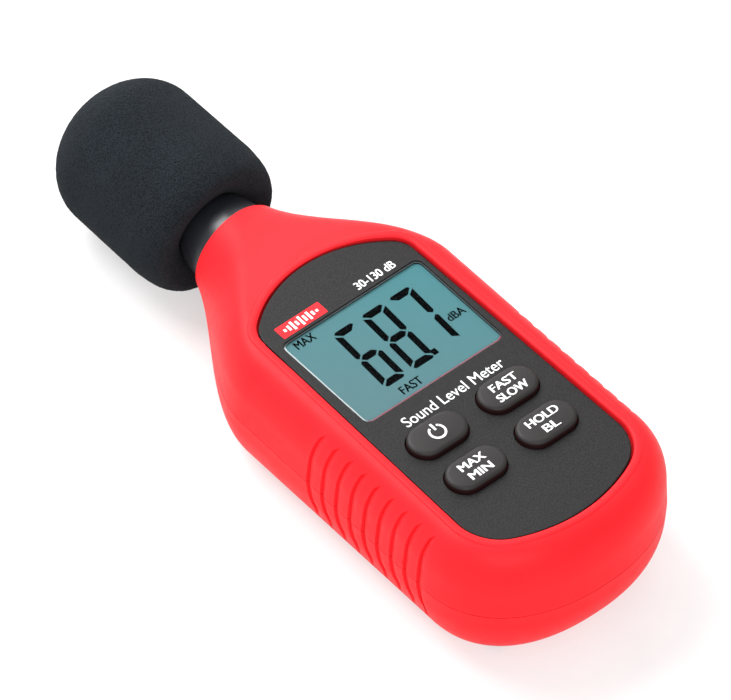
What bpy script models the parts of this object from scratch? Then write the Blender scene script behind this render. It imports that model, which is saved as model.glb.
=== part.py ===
"""Mini sound level meter: a handheld case with a display, four buttons, and a foam-covered microphone.

Sizes are in millimetres and become metres when a mesh is made. The meter lies on its back: +X is to
its right, +Y runs from its foot to the microphone, +Z comes out of the display. The origin is at the
bottom centre of its bounding box.
"""
import math

import bmesh
import bpy
from mathutils import Matrix, Vector

MM = 0.001
GAP = 0.3

# Whole object
FOOT_Y = -79.4
TIP_Y = 79.4

# Case
HALF_WIDTH = 28.9
HALF_WIDTH_TOP = 28.4
PIVOT_Y = FOOT_Y + 21.6
FOOT_POWER = 2.17
RIM_Z = 31.25
SEAM_Z = 15.55
SEAM_LINE = 0.3
DRAFT = 0.055
WALL = 2.2
SHOULDER_Y = -0.9
SHOULDER_END_Y = 40.4
COLLAR_END_Y = 34.3
COLLAR_RADIUS = 10.7
COLLAR_WALL = 1.2
LIP = 0.6
TOP_CORNER = (6.2, 10.2)
TOP_CORNER_POWER = 0.76
BOTTOM_CORNER = (9.0, 13.4)
SLOPE_Y = 7.7
TUBE_Z = 17.2

# Grip grooves along both sides
GROOVES = 9
GROOVE_TOP_Y = -20.7
GROOVE_PITCH = 4.27
GROOVE_WIDTH = 1.3
GROOVE_DEPTH = 0.7
GROOVE_FADE_Z = (25.5, 29.0)

# Panel and display
DISPLAY_Y = -13.3
PANEL_TOP_Z = 30.75
PANEL_THICKNESS = 1.2
# Peak, radius, half-width of the side and corner fillet at each end of the panel
PANEL_HEAD = (13.45, 28.0, 20.0, 6.0)
PANEL_FOOT = (-71.4, 36.0, 21.35, 10.5)
PANEL_GAP = 0.3
SEAT_Z = PANEL_TOP_Z - PANEL_THICKNESS - GAP
INNER_TOP_Z = SEAT_Z - 1.8
WINDOW_SIZE = (35.8, 26.1)
WINDOW_RADIUS = 1.8
OPENING_SIZE = (41.0, 31.4)
LCD_SIZE = (39.4, 29.8)
LCD_THICKNESS = 2.0
BACKLIGHT_THICKNESS = 2.4
BACKLIGHT_LENGTH = 25.6
FRAME_WALL = 1.7

# Buttons
BUTTON_SIZE = (14.0, 8.2)
BUTTON_X = 9.35
BUTTON_ROWS_Y = (-38.1, -49.85)
BUTTON_PROUD = 1.7
BUTTON_CLEARANCE = 0.5
FLANGE = 1.2
PLUNGER_RADIUS = 1.75
SWITCH_SIZE = 6.0
SWITCH_HEIGHT = 3.5

# Board
BOARD_Z = 18.5
BOARD_THICKNESS = 1.6
BOARD_HALF_WIDTH = 22.2
BOARD_FOOT_Y = -59.1
BOARD_HEAD_Y = 5.1
BOARD_TAB_Y = 10.9
BOARD_TAB_HALF_WIDTH = 9.0

# Battery bay, three AAA cells side by side
CELL_RADIUS = 5.25
CELL_LENGTH = 43.7
CELL_NUB = 0.8
CELL_PITCH = 10.8
BAY_HALF_WIDTH = 16.5
BAY_FOOT_Y = -63.0
BAY_LENGTH = 50.0
BAY_WALL = 1.4
DOOR_THICKNESS = 1.8
DOOR_HALF_WIDTH = 18.2
DOOR_FOOT_Y = BAY_FOOT_Y - 1.6
DOOR_HEAD_Y = -3.9
DOOR_SCREW_Y = -7.5
DOOR_CORNER = 5.0
CELL_Z = DOOR_THICKNESS + 0.6 + CELL_RADIUS
BAY_ROOF_Z = CELL_Z + CELL_RADIUS + 0.45
CONTACT_THICKNESS = 0.4

# Screws
CASE_SCREWS = ((14.0, 9.2), (-14.0, 9.2), (17.8, -66.9), (-17.8, -66.9))
SCREW_TUBE_FOOT_Z = 2.1
SCREW_TUBE_RADIUS = 3.0
HEAD_HOLE_RADIUS = 2.4
BOARD_SCREWS = ((20.1, -44.1), (-20.1, -44.1))
POST_RADIUS = 2.5
SHANK_RADIUS = 1.1
HEAD_SEAT_Z = 8.0

# Microphone
NECK_RADIUS = 9.0
TUBE_RADIUS = 6.0
TUBE_BORE = 5.3
TUBE_END_Y = 70.8
NECK_INNER_Y = 25.4
CAPSULE_RADIUS = 4.8
FOAM_RADIUS = 17.05
FOAM_BASE_Y = 39.3
FOAM_DOME_Y = 66.2
FOAM_BORE_END_Y = 73.2

# The back shell's many joins and holes need the manifold solver
SOLVERS = {"back_shell": 'MANIFOLD'}

RED = (0.86, 0.028, 0.036)
DARK = (0.062, 0.060, 0.061)
BLACK = (0.012, 0.012, 0.013)


def smooth_step(value, start, end):
    """0 below start, 1 above end, and a smooth S between."""
    t = min(max((value - start) / (end - start), 0.0), 1.0)
    return t * t * (3.0 - 2.0 * t)


def mix(a, b, t):
    return a + (b - a) * t


# ---------------------------------------------------------------- materials and objects

def material(name, colour, roughness, metallic=0.0, alpha=1.0):
    found = bpy.data.materials.get(name)
    if found:
        return found
    made = bpy.data.materials.new(name)
    made.use_nodes = True
    shader = made.node_tree.nodes["Principled BSDF"]
    shader.inputs["Base Color"].default_value = (*colour, 1.0)
    shader.inputs["Roughness"].default_value = roughness
    shader.inputs["Metallic"].default_value = metallic
    shader.inputs["Alpha"].default_value = alpha
    return made


def add_object(name, points, faces, look, smooth=True):
    """A mesh object from points in millimetres, joined where points meet, with its faces out."""
    mesh = bpy.data.meshes.new(name)
    built = bmesh.new()
    corners = [built.verts.new(Vector(p) * MM) for p in points]
    for face in faces:
        built.faces.new([corners[i] for i in face])
    bmesh.ops.remove_doubles(built, verts=built.verts, dist=1e-7)
    bmesh.ops.recalc_face_normals(built, faces=built.faces)
    built.to_mesh(mesh)
    built.free()
    made = bpy.data.objects.new(name, mesh)
    bpy.context.collection.objects.link(made)
    if look:
        mesh.materials.append(look)
    if smooth:
        mesh.shade_smooth()
        mesh.set_sharp_from_angle(angle=math.radians(32))
    return made


def move_origin(thing, place):
    """Put an object's origin at a place on its joint axis without moving its mesh."""
    shift = Vector(place) * MM
    thing.data.transform(Matrix.Translation(-shift))
    thing.location = shift
    return thing


def combine(target, tool, operation):
    """Join a tool to the target, or cut it out, and keep the tool as a hidden guide."""
    tool.hide_render = True
    tool.display_type = 'WIRE'
    step = target.modifiers.new(tool.name, 'BOOLEAN')
    step.operation = operation
    step.solver = SOLVERS.get(target.name, 'EXACT')
    step.object = tool
    return target


def cut(target, tool):
    return combine(target, tool, 'DIFFERENCE')


def join(target, tool):
    return combine(target, tool, 'UNION')


# ---------------------------------------------------------------- outlines in the plan

def arc(centre, radius, start, end, steps):
    """Points on an arc, with angles in degrees."""
    points = []
    for i in range(steps + 1):
        angle = math.radians(mix(start, end, i / steps))
        points.append((centre[0] + radius * math.cos(angle), centre[1] + radius * math.sin(angle)))
    return points


def rounded_rectangle(width, length, radius, centre=(0.0, 0.0), steps=3):
    x, y = width / 2 - radius, length / 2 - radius
    points = []
    for side_x, side_y, start in ((x, y, 0), (-x, y, 90), (-x, -y, 180), (x, -y, 270)):
        points += arc((centre[0] + side_x, centre[1] + side_y), radius, start, start + 90, steps)
    return points


def stadium(grow, centre):
    """A button's outline, grown outward by a margin."""
    width, length = BUTTON_SIZE[0] + 2 * grow, BUTTON_SIZE[1] + 2 * grow
    radius = length / 2 - 0.001
    return rounded_rectangle(width, length, radius, centre, steps=4)


def circle(radius, centre=(0.0, 0.0), steps=16):
    return arc(centre, radius, 0, 360, steps)[:-1]


def panel_outline(grow=0.0, steps=8):
    """Broad arcs at the head and the foot, straight sides, and a fillet at each corner."""
    quarter = []
    for (peak_y, radius, side, fillet), sign in ((PANEL_HEAD, 1), (PANEL_FOOT, -1)):
        arc_y = peak_y - sign * radius
        radius += grow
        fillet += grow
        fillet_x = side + grow - fillet
        rise = math.sqrt((radius - fillet) ** 2 - fillet_x ** 2)
        tangent = math.degrees(math.atan2(rise, fillet_x))
        corner = arc((fillet_x, arc_y + sign * rise), fillet, 0, sign * tangent, 4)
        broad = arc((0.0, arc_y), radius, sign * tangent, sign * 90, steps)
        quarter.append(corner + broad[1:])
    head, foot = quarter
    right = foot[::-1] + head
    left = [(-x, y) for x, y in right[::-1]]
    return right[:-1] + left[:-1]


# ---------------------------------------------------------------- solids

def stack(name, rings, look, smooth=True):
    """A closed solid through outlines with equal point counts, each at its own height."""
    count = len(rings[0][0])
    points = [(x, y, z) for outline, z in rings for x, y in outline]
    faces = [list(range(count))[::-1]]
    for level in range(len(rings) - 1):
        low, high = level * count, (level + 1) * count
        for i in range(count):
            after = (i + 1) % count
            faces.append([low + i, low + after, high + after, high + i])
    faces.append(list(range((len(rings) - 1) * count, len(rings) * count)))
    return add_object(name, points, faces, look, smooth)


def prism(name, outline, low, high, look, smooth=False):
    return stack(name, [(outline, low), (outline, high)], look, smooth)


def box(name, low, high, look):
    outline = [(low[0], low[1]), (high[0], low[1]), (high[0], high[1]), (low[0], high[1])]
    return prism(name, outline, low[2], high[2], look)


def turned(name, profile, look, axis='Z', base=(0.0, 0.0, 0.0), steps=16):
    """A solid turned about an axis from closed profile points (radius, distance along the axis)."""
    points = []
    for i in range(steps):
        angle = 2 * math.pi * i / steps
        for radius, along in profile:
            x, y = radius * math.cos(angle), radius * math.sin(angle)
            point = (x, y, along) if axis == 'Z' else (x, along, y)
            points.append(tuple(b + p for b, p in zip(base, point)))
    count = len(profile)
    faces = []
    for i in range(steps):
        here, there = i * count, ((i + 1) % steps) * count
        for j in range(count):
            after = (j + 1) % count
            on_axis = profile[j][0] == 0 and profile[after][0] == 0
            if on_axis:
                continue
            corners = [here + j, here + after]
            if profile[after][0] > 0:
                corners.append(there + after)
            if profile[j][0] > 0:
                corners.append(there + j)
            faces.append(corners)
    return add_object(name, points, faces, look)


def wire(name, route, radius, look, sides=8):
    """A filled tube through a smooth curve with a point every few diameters."""
    curve = bpy.data.curves.new(name, 'CURVE')
    curve.dimensions = '3D'
    curve.bevel_depth = radius * MM
    curve.bevel_resolution = (sides - 4) // 2
    curve.use_fill_caps = True
    points = smooth_route(route, radius * 5)
    spline = curve.splines.new('POLY')
    spline.points.add(len(points) - 1)
    for knot, point in zip(spline.points, points):
        knot.co = (*(Vector(point) * MM), 1.0)
    made = bpy.data.objects.new(name, curve)
    curve.materials.append(look)
    bpy.context.collection.objects.link(made)
    return made


def smooth_route(route, spacing):
    """Catmull-Rom points through a hand-set route."""
    knots = [Vector(p) for p in route]
    knots = [2 * knots[0] - knots[1]] + knots + [2 * knots[-1] - knots[-2]]
    points = []
    for a, b, c, d in zip(knots, knots[1:], knots[2:], knots[3:]):
        pieces = max(1, round((c - b).length / spacing))
        for i in range(pieces):
            t = i / pieces
            points.append(0.5 * (2 * b + (c - a) * t + (2 * a - 5 * b + 4 * c - d) * t * t
                                 + (3 * b - a - 3 * c + d) * t ** 3))
    points.append(knots[-2])
    return points


# ---------------------------------------------------------------- the case's outer form

def groove_depth(y, z):
    """How far a grip groove cuts in at a height on the side wall."""
    for i in range(GROOVES):
        if abs(y - (GROOVE_TOP_Y - i * GROOVE_PITCH)) < 0.01:
            return GROOVE_DEPTH * (1.0 - smooth_step(z, *GROOVE_FADE_Z))
    return 0.0


def shoulder_at(y, start=SHOULDER_Y):
    """0 on the straight sides to 1 at the collar, which cuts the S-curve short."""
    whole = smooth_step(COLLAR_END_Y, start, SHOULDER_END_Y)
    return min(smooth_step(y, start, SHOULDER_END_Y) / whole, 1.0)


def section(y):
    """Half-width, bottom, top, corner sizes and draft of the case's cross-section at y."""
    shoulder = shoulder_at(y)
    along = min(max((y - PIVOT_Y) / (SHOULDER_Y - PIVOT_Y), 0.0), 1.0)
    half = mix(mix(HALF_WIDTH, HALF_WIDTH_TOP, along), COLLAR_RADIUS, shoulder)
    bottom = (TUBE_Z - COLLAR_RADIUS) * shoulder_at(y, SHOULDER_Y + 3)
    top = mix(RIM_Z, TUBE_Z + COLLAR_RADIUS, smooth_step(y, SLOPE_Y, COLLAR_END_Y))
    upper = [mix(size, COLLAR_RADIUS, shoulder ** TOP_CORNER_POWER) for size in TOP_CORNER]
    lower = [mix(size, COLLAR_RADIUS, shoulder) for size in BOTTOM_CORNER]
    return half, bottom, top, upper, lower, DRAFT * (1.0 - shoulder)


def foot_reach(angle):
    """Distance from the pivot to the case's outline round the foot."""
    across = abs(math.cos(angle)) / HALF_WIDTH
    down = abs(math.sin(angle)) / (PIVOT_Y - FOOT_Y)
    return (across ** FOOT_POWER + down ** FOOT_POWER) ** (-1 / FOOT_POWER)


def half_section(y, angle, inset, upper, detail):
    """One half of the case's cross-section, from the seam to the middle line, as (reach, z).

    The foot's sections fan out from the pivot at an angle; the others look straight to one side.
    The detail is the number of steps on the wall, round the corner and across the flat.
    """
    half, bottom, top, top_corner, bottom_corner, draft = section(y)
    reach = (half if angle is None else foot_reach(angle)) - inset
    bottom += inset
    top = min(top - inset, INNER_TOP_Z) if inset else top
    wide, tall = [max(size - inset, 0.6) for size in (top_corner if upper else bottom_corner)]
    far_tall = max((bottom_corner if upper else top_corner)[1] - inset, 0.6)
    sign = 1 if upper else -1
    level = top if upper else bottom
    seam = SEAM_Z + sign * SEAM_LINE / 2
    edge = level - sign * tall
    far_edge = bottom + far_tall if upper else top - far_tall
    first_turn = math.asin(min(max(sign * (seam - edge) / tall, 0.0), 1.0))
    grooved = angle is None and not inset
    wall_steps, turn_steps, flat_steps = detail
    shoulder_reach = reach - draft * abs(edge - SEAM_Z)
    points = []
    for i in range(0 if first_turn else wall_steps):
        z = mix(seam, edge, i / wall_steps)
        past = max(sign * (far_edge - z), 0.0) / far_tall
        bend = reach * (1 - math.sqrt(1 - past * past))
        groove = groove_depth(y, z) if grooved else 0.0
        points.append((reach - bend - draft * abs(z - SEAM_Z) - groove, z))
    for i in range(turn_steps + 1):
        turn = mix(first_turn, math.pi / 2, i / turn_steps)
        z = edge + sign * tall * math.sin(turn)
        groove = groove_depth(y, z) * math.cos(turn) if grooved else 0.0
        points.append((shoulder_reach - wide * (1 - math.cos(turn)) - groove, z))
    points = [points[0]] * (wall_steps + turn_steps + 1 - len(points)) + points
    inner_reach = max(shoulder_reach - wide, 0.0)
    points += [(inner_reach * (1 - i / flat_steps), level) for i in range(1, flat_steps + 1)]
    return points


def lip_rounding(y):
    """How far the collar's mouth rounds in at y."""
    past = max(y - COLLAR_END_Y + LIP, 0.0)
    return LIP - math.sqrt(max(LIP ** 2 - past ** 2, 0.0))


def case_half(name, upper, inset, side_places, fan_steps, detail, look):
    """The solid upper or lower half of the case's outer form, or its hollow when inset."""
    places = [(y, None, 1) for y in sorted(side_places, reverse=True)]
    places += [(PIVOT_Y, math.pi * i / fan_steps, 0) for i in range(fan_steps + 1)]
    places += [(y, None, -1) for y in sorted(side_places)]
    rows = []
    for y, angle, side in places:
        here = inset(y) if inset else 0.0
        lip = 0.0 if inset else lip_rounding(y)
        row = []
        for reach, z in half_section(y, angle, here, upper, detail):
            reach *= 1 - lip / COLLAR_RADIUS
            if angle is None:
                row.append((side * reach, y, z))
            else:
                row.append((reach * math.cos(angle), PIVOT_Y - reach * math.sin(angle), z))
        if inset:
            x, along, z = row[0]
            row.insert(0, (x, along, z - 2.0 if upper else z + 2.0))
        rows.append(row)
    count = len(rows[0])
    points = [point for row in rows for point in row]
    faces = []
    for i in range(len(rows) - 1):
        for j in range(count - 1):
            a, b = i * count + j, (i + 1) * count + j
            faces.append([a, a + 1, b + 1, b])
    last = (len(rows) - 1) * count
    faces.append([i * count for i in range(len(rows))])
    faces.append([last + j for j in range(count)] + [j for j in range(count - 1)][::-1])
    return add_object(name, points, faces, look)


def outer_places(steps):
    """Section places along the sides, with three at each grip groove and a rounded collar end."""
    shoulder = [mix(SHOULDER_Y, COLLAR_END_Y - 2 * LIP, i / steps) for i in range(steps + 1)]
    grooves = []
    for i in range(GROOVES):
        middle = GROOVE_TOP_Y - i * GROOVE_PITCH
        grooves += [middle - GROOVE_WIDTH / 2, middle, middle + GROOVE_WIDTH / 2]
    lip = [COLLAR_END_Y - LIP, COLLAR_END_Y - LIP * 0.3, COLLAR_END_Y]
    return grooves + shoulder + lip


def inner_places(steps):
    shoulder = [mix(SHOULDER_Y, COLLAR_END_Y - 2 * LIP, i / steps) for i in range(steps + 1)]
    return shoulder + [COLLAR_END_Y + 1.0]


def wall_at(y):
    """Wall thickness, thinner at the collar."""
    return mix(WALL, COLLAR_WALL, shoulder_at(y))


# ---------------------------------------------------------------- case

def front_shell(red):
    shell = case_half("front_shell", True, None, outer_places(9), 18, (2, 5, 1), red)
    cut(shell, case_half("front_hollow", True, wall_at, inner_places(6), 12, (1, 3, 1), None))
    feet = [SEAM_Z + SEAM_LINE] * len(CASE_SCREWS)
    feet += [BOARD_Z + BOARD_THICKNESS + GAP] * len(BOARD_SCREWS)
    for i, ((x, y), foot) in enumerate(zip(CASE_SCREWS + BOARD_SCREWS, feet)):
        join(shell, prism(f"post_{i}", circle(POST_RADIUS, (x, y), 12), foot, INNER_TOP_Z + 0.4, None))
        hole = circle(SHANK_RADIUS + GAP, (x, y), 8)
        cut(shell, prism(f"post_hole_{i}", hole, foot - 1, foot + 6.5, None))
    cut(shell, prism("panel_recess", panel_outline(PANEL_GAP), SEAT_Z, RIM_Z + 5, None))
    opening = rounded_rectangle(*OPENING_SIZE, 1.0, (0, DISPLAY_Y))
    cut(shell, prism("display_opening", opening, INNER_TOP_Z - 1, RIM_Z, None))
    for name, centre in button_places().items():
        hole = stadium(BUTTON_CLEARANCE, centre)
        cut(shell, prism(f"shell_hole_{name}", hole, INNER_TOP_Z - 1, RIM_Z, None))
    return shell


def back_shell(red):
    shell = case_half("back_shell", False, None, outer_places(9), 18, (2, 5, 1), red)
    cut(shell, case_half("back_hollow", False, wall_at, inner_places(6), 12, (1, 3, 1), None))
    join(shell, prism("door_seat", door_outline(1.5), 1.0, DOOR_THICKNESS + 2 * GAP + 1.4, None))
    head_y = BAY_FOOT_Y + BAY_LENGTH
    wall = BAY_WALL
    join(shell, box("bay_block", (-BAY_HALF_WIDTH - wall, BAY_FOOT_Y - wall, 1.5),
                    (BAY_HALF_WIDTH + wall, head_y + wall, BAY_ROOF_Z + wall), None))
    for i, place in enumerate(CASE_SCREWS):
        tube = circle(SCREW_TUBE_RADIUS, place, 12)
        join(shell, prism(f"screw_tube_{i}", tube, SCREW_TUBE_FOOT_Z, SEAM_Z - SEAM_LINE, None))
    join(shell, prism("door_post", circle(3.0, (0, DOOR_SCREW_Y), 12), 2.0, 11.0, None))
    cut(shell, prism("door_recess", door_outline(GAP), -1.0, DOOR_THICKNESS + GAP, None))
    cut(shell, box("bay_hollow", (-BAY_HALF_WIDTH, BAY_FOOT_Y, -1.0),
                   (BAY_HALF_WIDTH, head_y, BAY_ROOF_Z), None))
    for i, place in enumerate(CASE_SCREWS):
        cut(shell, prism(f"head_hole_{i}", circle(HEAD_HOLE_RADIUS, place, 12), -1.0, HEAD_SEAT_Z, None))
        cut(shell, prism(f"shank_hole_{i}", circle(SHANK_RADIUS + GAP, place, 8), 0.0, SEAM_Z + 1, None))
    door_hole = circle(SHANK_RADIUS + GAP, (0, DOOR_SCREW_Y), 8)
    cut(shell, prism("door_screw_hole", door_hole, 0.0, 10.0, None))
    for i, (x, y) in enumerate(tab_places()):
        cut(shell, box(f"tab_slit_{i}", (x - 2.2, y - 0.7, BAY_ROOF_Z - 1),
                       (x + 2.2, y + 0.7, BAY_ROOF_Z + 3), None))
    return shell


def door_middle():
    return (0.0, (DOOR_HEAD_Y + DOOR_FOOT_Y) / 2)


def door_outline(grow):
    length = DOOR_HEAD_Y - DOOR_FOOT_Y + 2 * grow
    return rounded_rectangle(2 * (DOOR_HALF_WIDTH + grow), length, DOOR_CORNER + grow, door_middle())


def battery_door(red):
    door = prism("battery_door", door_outline(0.0), 0.0, DOOR_THICKNESS, red)
    place = (0, DOOR_SCREW_Y)
    cut(door, prism("door_head_hole", circle(2.6, place, 12), -1.0, DOOR_THICKNESS - 0.7, None))
    shank = circle(SHANK_RADIUS + GAP, place, 8)
    cut(door, prism("door_shank_hole", shank, -1.0, DOOR_THICKNESS + 1, None))
    return move_origin(door, (*door_middle(), 0.0))


def screw(name, place, head_radius, head_top, head_height, length, look):
    """A screw pointing up, its head's upper side at head_top."""
    r = SHANK_RADIUS
    low = head_top - head_height
    tip = head_top + length
    profile = [(0, low), (head_radius * 0.8, low), (head_radius, low + 0.3), (head_radius, head_top),
               (r, head_top), (r, tip - 1.2), (0, tip)]
    made = turned(name, profile, look, base=(place[0], place[1], 0.0), steps=12)
    return move_origin(made, (place[0], place[1], head_top))


# ---------------------------------------------------------------- front

def button_places():
    names = (("power", "fast_slow"), ("max_min", "hold_light"))
    return {name: ((2 * column - 1) * BUTTON_X, y)
            for row, y in zip(names, BUTTON_ROWS_Y) for column, name in enumerate(row)}


def front_panel(dark):
    low, high = SEAT_Z + GAP, PANEL_TOP_Z
    panel = stack("front_panel", [(panel_outline(), low), (panel_outline(), high - 0.2),
                                  (panel_outline(-0.2), high)], dark)
    window = rounded_rectangle(*WINDOW_SIZE, WINDOW_RADIUS, (0, DISPLAY_Y))
    cut(panel, prism("panel_window", window, low - 1, high + 1, None))
    for name, centre in button_places().items():
        hole = stadium(BUTTON_CLEARANCE + 0.1, centre)
        cut(panel, prism(f"panel_hole_{name}", hole, low - 1, high + 1, None))
    return panel


def display(parts):
    """The window, the glass, the light behind it, their frame and the contact strip."""
    clear, glass, white, rubber = parts
    place = (0, DISPLAY_Y)
    flange_low = SEAT_Z - 0.5
    width, length = WINDOW_SIZE
    block = rounded_rectangle(width - 2 * GAP, length - 2 * GAP, WINDOW_RADIUS - GAP, place)
    flange = rounded_rectangle(width + 2.2, length + 2.2, WINDOW_RADIUS, place)
    stack("display_window", [(flange, flange_low), (flange, SEAT_Z), (block, SEAT_Z),
                             (block, PANEL_TOP_Z - 0.2)], clear)
    glass_top = flange_low - GAP
    outline = rounded_rectangle(*LCD_SIZE, 0.4, place, steps=1)
    prism("lcd_glass", outline, glass_top - LCD_THICKNESS, glass_top, glass)
    light_top = glass_top - LCD_THICKNESS - GAP
    light_y = DISPLAY_Y + (LCD_SIZE[1] - BACKLIGHT_LENGTH) / 2
    outline = rounded_rectangle(LCD_SIZE[0], BACKLIGHT_LENGTH, 0.4, (0, light_y), steps=1)
    prism("lcd_backlight", outline, light_top - BACKLIGHT_THICKNESS, light_top, white)
    base = BOARD_Z + BOARD_THICKNESS + GAP
    pocket_size = (LCD_SIZE[0] + 2 * GAP, LCD_SIZE[1] + 2 * GAP)
    outer_size = [size + 2 * FRAME_WALL for size in pocket_size]
    frame_outline = rounded_rectangle(*outer_size, 1.0, place, steps=2)
    frame = prism("lcd_frame", frame_outline, base, INNER_TOP_Z - GAP, white)
    pocket = rounded_rectangle(*pocket_size, 0.5, place, steps=1)
    ledge = rounded_rectangle(pocket_size[0] - 3.4, pocket_size[1] - 0.6, 0.5, place, steps=1)
    floor = light_top - BACKLIGHT_THICKNESS - GAP
    cut(frame, prism("frame_pocket", pocket, floor, INNER_TOP_Z + 1, None))
    cut(frame, prism("frame_window", ledge, base - 1, floor + 1, None))
    strip_y = DISPLAY_Y - LCD_SIZE[1] / 2 + 1.9
    box("zebra_strip", (-17.0, strip_y - 0.9, base), (17.0, strip_y + 0.9, light_top), rubber)


def buttons(cap_look, body_look, metal):
    """Four caps with a retaining flange, each over a switch whose plunger travels with it."""
    board_top = BOARD_Z + BOARD_THICKNESS + GAP
    switch_top = board_top + SWITCH_HEIGHT
    plunger_top = switch_top + 1.4
    top = PANEL_TOP_Z + BUTTON_PROUD
    under = INNER_TOP_Z - GAP
    for name, centre in button_places().items():
        rings = [(stadium(-2.4, centre), plunger_top + GAP), (stadium(-2.4, centre), under - 1.1),
                 (stadium(FLANGE, centre), under - 1.1), (stadium(FLANGE, centre), under),
                 (stadium(0, centre), under), (stadium(0, centre), top - 0.6),
                 (stadium(-0.25, centre), top - 0.2), (stadium(-0.8, centre), top)]
        move_origin(stack(f"button_{name}", rings, cap_look), (*centre, top))
        half = SWITCH_SIZE / 2
        body = box(f"switch_{name}", (centre[0] - half, centre[1] - half, board_top),
                   (centre[0] + half, centre[1] + half, switch_top), body_look)
        socket = circle(PLUNGER_RADIUS + GAP, centre, 12)
        cut(body, prism(f"switch_socket_{name}", socket, board_top + 1.2, switch_top + 1, None))
        plunger = prism(f"plunger_{name}", circle(PLUNGER_RADIUS, centre, 12), board_top + 2.4, plunger_top,
                        metal, smooth=True)
        move_origin(plunger, (*centre, plunger_top))


# ---------------------------------------------------------------- board and battery bay

def main_board(green):
    w, tab = BOARD_HALF_WIDTH, BOARD_TAB_HALF_WIDTH
    outline = [(w, BOARD_FOOT_Y), (w, BOARD_HEAD_Y), (tab, BOARD_HEAD_Y), (tab, BOARD_TAB_Y),
               (-tab, BOARD_TAB_Y), (-tab, BOARD_HEAD_Y), (-w, BOARD_HEAD_Y), (-w, BOARD_FOOT_Y)]
    board = prism("main_board", outline, BOARD_Z, BOARD_Z + BOARD_THICKNESS, green)
    for i, place in enumerate(BOARD_SCREWS):
        hole = circle(SHANK_RADIUS + GAP, place, 8)
        cut(board, prism(f"board_hole_{i}", hole, BOARD_Z - 1, BOARD_Z + 3, None))
    return board


def components(chip, metal, sleeve):
    """The larger components under the board."""
    top = BOARD_Z - GAP
    box("main_chip", (-15.0, -30.5, top - 1.6), (-5.0, -20.5, top), chip)
    box("amplifier_chip", (3.0, -3.5, top - 1.6), (8.0, 0.5, top), chip)
    prism("crystal", rounded_rectangle(10.0, 4.2, 2.05, (8.5, -25.5)), top - 3.1, top, metal, smooth=True)
    profile = [(0, top - 4.6), (1.8, top - 4.6), (2.0, top - 4.4), (2.0, top), (0, top)]
    for i, x in enumerate((-12.0, -6.5)):
        turned(f"capacitor_{i + 1}", profile, sleeve, base=(x, -1.5, 0.0), steps=12)


def tab_places():
    """Where the two end contacts' solder tabs pass through the bay's roof."""
    inset = GAP + CONTACT_THICKNESS / 2
    return ((-CELL_PITCH, BAY_FOOT_Y + BAY_LENGTH - inset), (CELL_PITCH, BAY_FOOT_Y + inset))


def contact(name, left, right, y, tab_x, look):
    """An upright plate across one or two cells, with a solder tab where tab_x is given."""
    low, high = CELL_Z - 4.2, CELL_Z + 4.2
    shape = [(left, low), (right, low), (right, high)]
    if tab_x is not None:
        tab_top = BAY_ROOF_Z + BAY_WALL + 1.2
        shape += [(tab_x + 1.6, high), (tab_x + 1.6, tab_top), (tab_x - 1.6, tab_top), (tab_x - 1.6, high)]
    shape.append((left, high))
    t = CONTACT_THICKNESS / 2
    points = [(x, y - t, z) for x, z in shape] + [(x, y + t, z) for x, z in shape]
    count = len(shape)
    faces = [list(range(count)), list(range(count, 2 * count))[::-1]]
    faces += [[i, (i + 1) % count, (i + 1) % count + count, i + count] for i in range(count)]
    return add_object(name, points, faces, look, smooth=False)


def coil(name, x, start_y, end_y, look):
    """A conical contact spring along Y, its wide end at start_y."""
    turns, steps, wire_radius = 3, 10, 0.35
    sign = 1 if end_y > start_y else -1
    start_y, end_y = start_y + sign * wire_radius, end_y - sign * wire_radius
    curve = bpy.data.curves.new(name, 'CURVE')
    curve.dimensions = '3D'
    curve.bevel_depth = wire_radius * MM
    curve.bevel_resolution = 0
    curve.use_fill_caps = True
    spline = curve.splines.new('POLY')
    spline.points.add(turns * steps)
    for i, knot in enumerate(spline.points):
        t = i / (turns * steps)
        radius = mix(3.4, 2.0, t)
        turn = 2 * math.pi * turns * t
        across, up = radius * math.cos(turn), radius * math.sin(turn)
        knot.co = (*(Vector((x + across, mix(start_y, end_y, t), CELL_Z + up)) * MM), 1.0)
    made = bpy.data.objects.new(name, curve)
    curve.materials.append(look)
    bpy.context.collection.objects.link(made)


def batteries(sleeve, metal):
    """Three cells side by side, their springs, and the plates that join them in series."""
    foot, head = BAY_FOOT_Y, BAY_FOOT_Y + BAY_LENGTH
    inset = GAP + CONTACT_THICKNESS / 2
    reach = GAP + CONTACT_THICKNESS + GAP
    for i, x in enumerate((-CELL_PITCH, 0.0, CELL_PITCH)):
        sign = -1 if i == 1 else 1
        plus = head - reach if sign == 1 else foot + reach
        shoulder = plus - sign * CELL_NUB
        tail = shoulder - sign * CELL_LENGTH
        profile = [(0, plus), (1.9, plus), (1.9, shoulder), (CELL_RADIUS - 0.3, shoulder),
                   (CELL_RADIUS, shoulder - sign * 0.4), (CELL_RADIUS, tail + sign * 0.3),
                   (CELL_RADIUS - 0.3, tail), (0, tail)]
        turned(f"battery_cell_{i + 1}", profile, sleeve, axis='Y', base=(x, 0, CELL_Z), steps=16)
        minus = foot + reach if sign == 1 else head - reach
        coil(f"battery_spring_{i + 1}", x, minus, tail - sign * GAP, metal)
    side = 4.4
    contact("contact_plus", -CELL_PITCH - side, -CELL_PITCH + side, head - inset, -CELL_PITCH, metal)
    contact("contact_link_head", -side, CELL_PITCH + side, head - inset, None, metal)
    contact("contact_link_foot", -CELL_PITCH - side, side, foot + inset, None, metal)
    contact("contact_minus", CELL_PITCH - side, CELL_PITCH + side, foot + inset, CELL_PITCH, metal)


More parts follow.
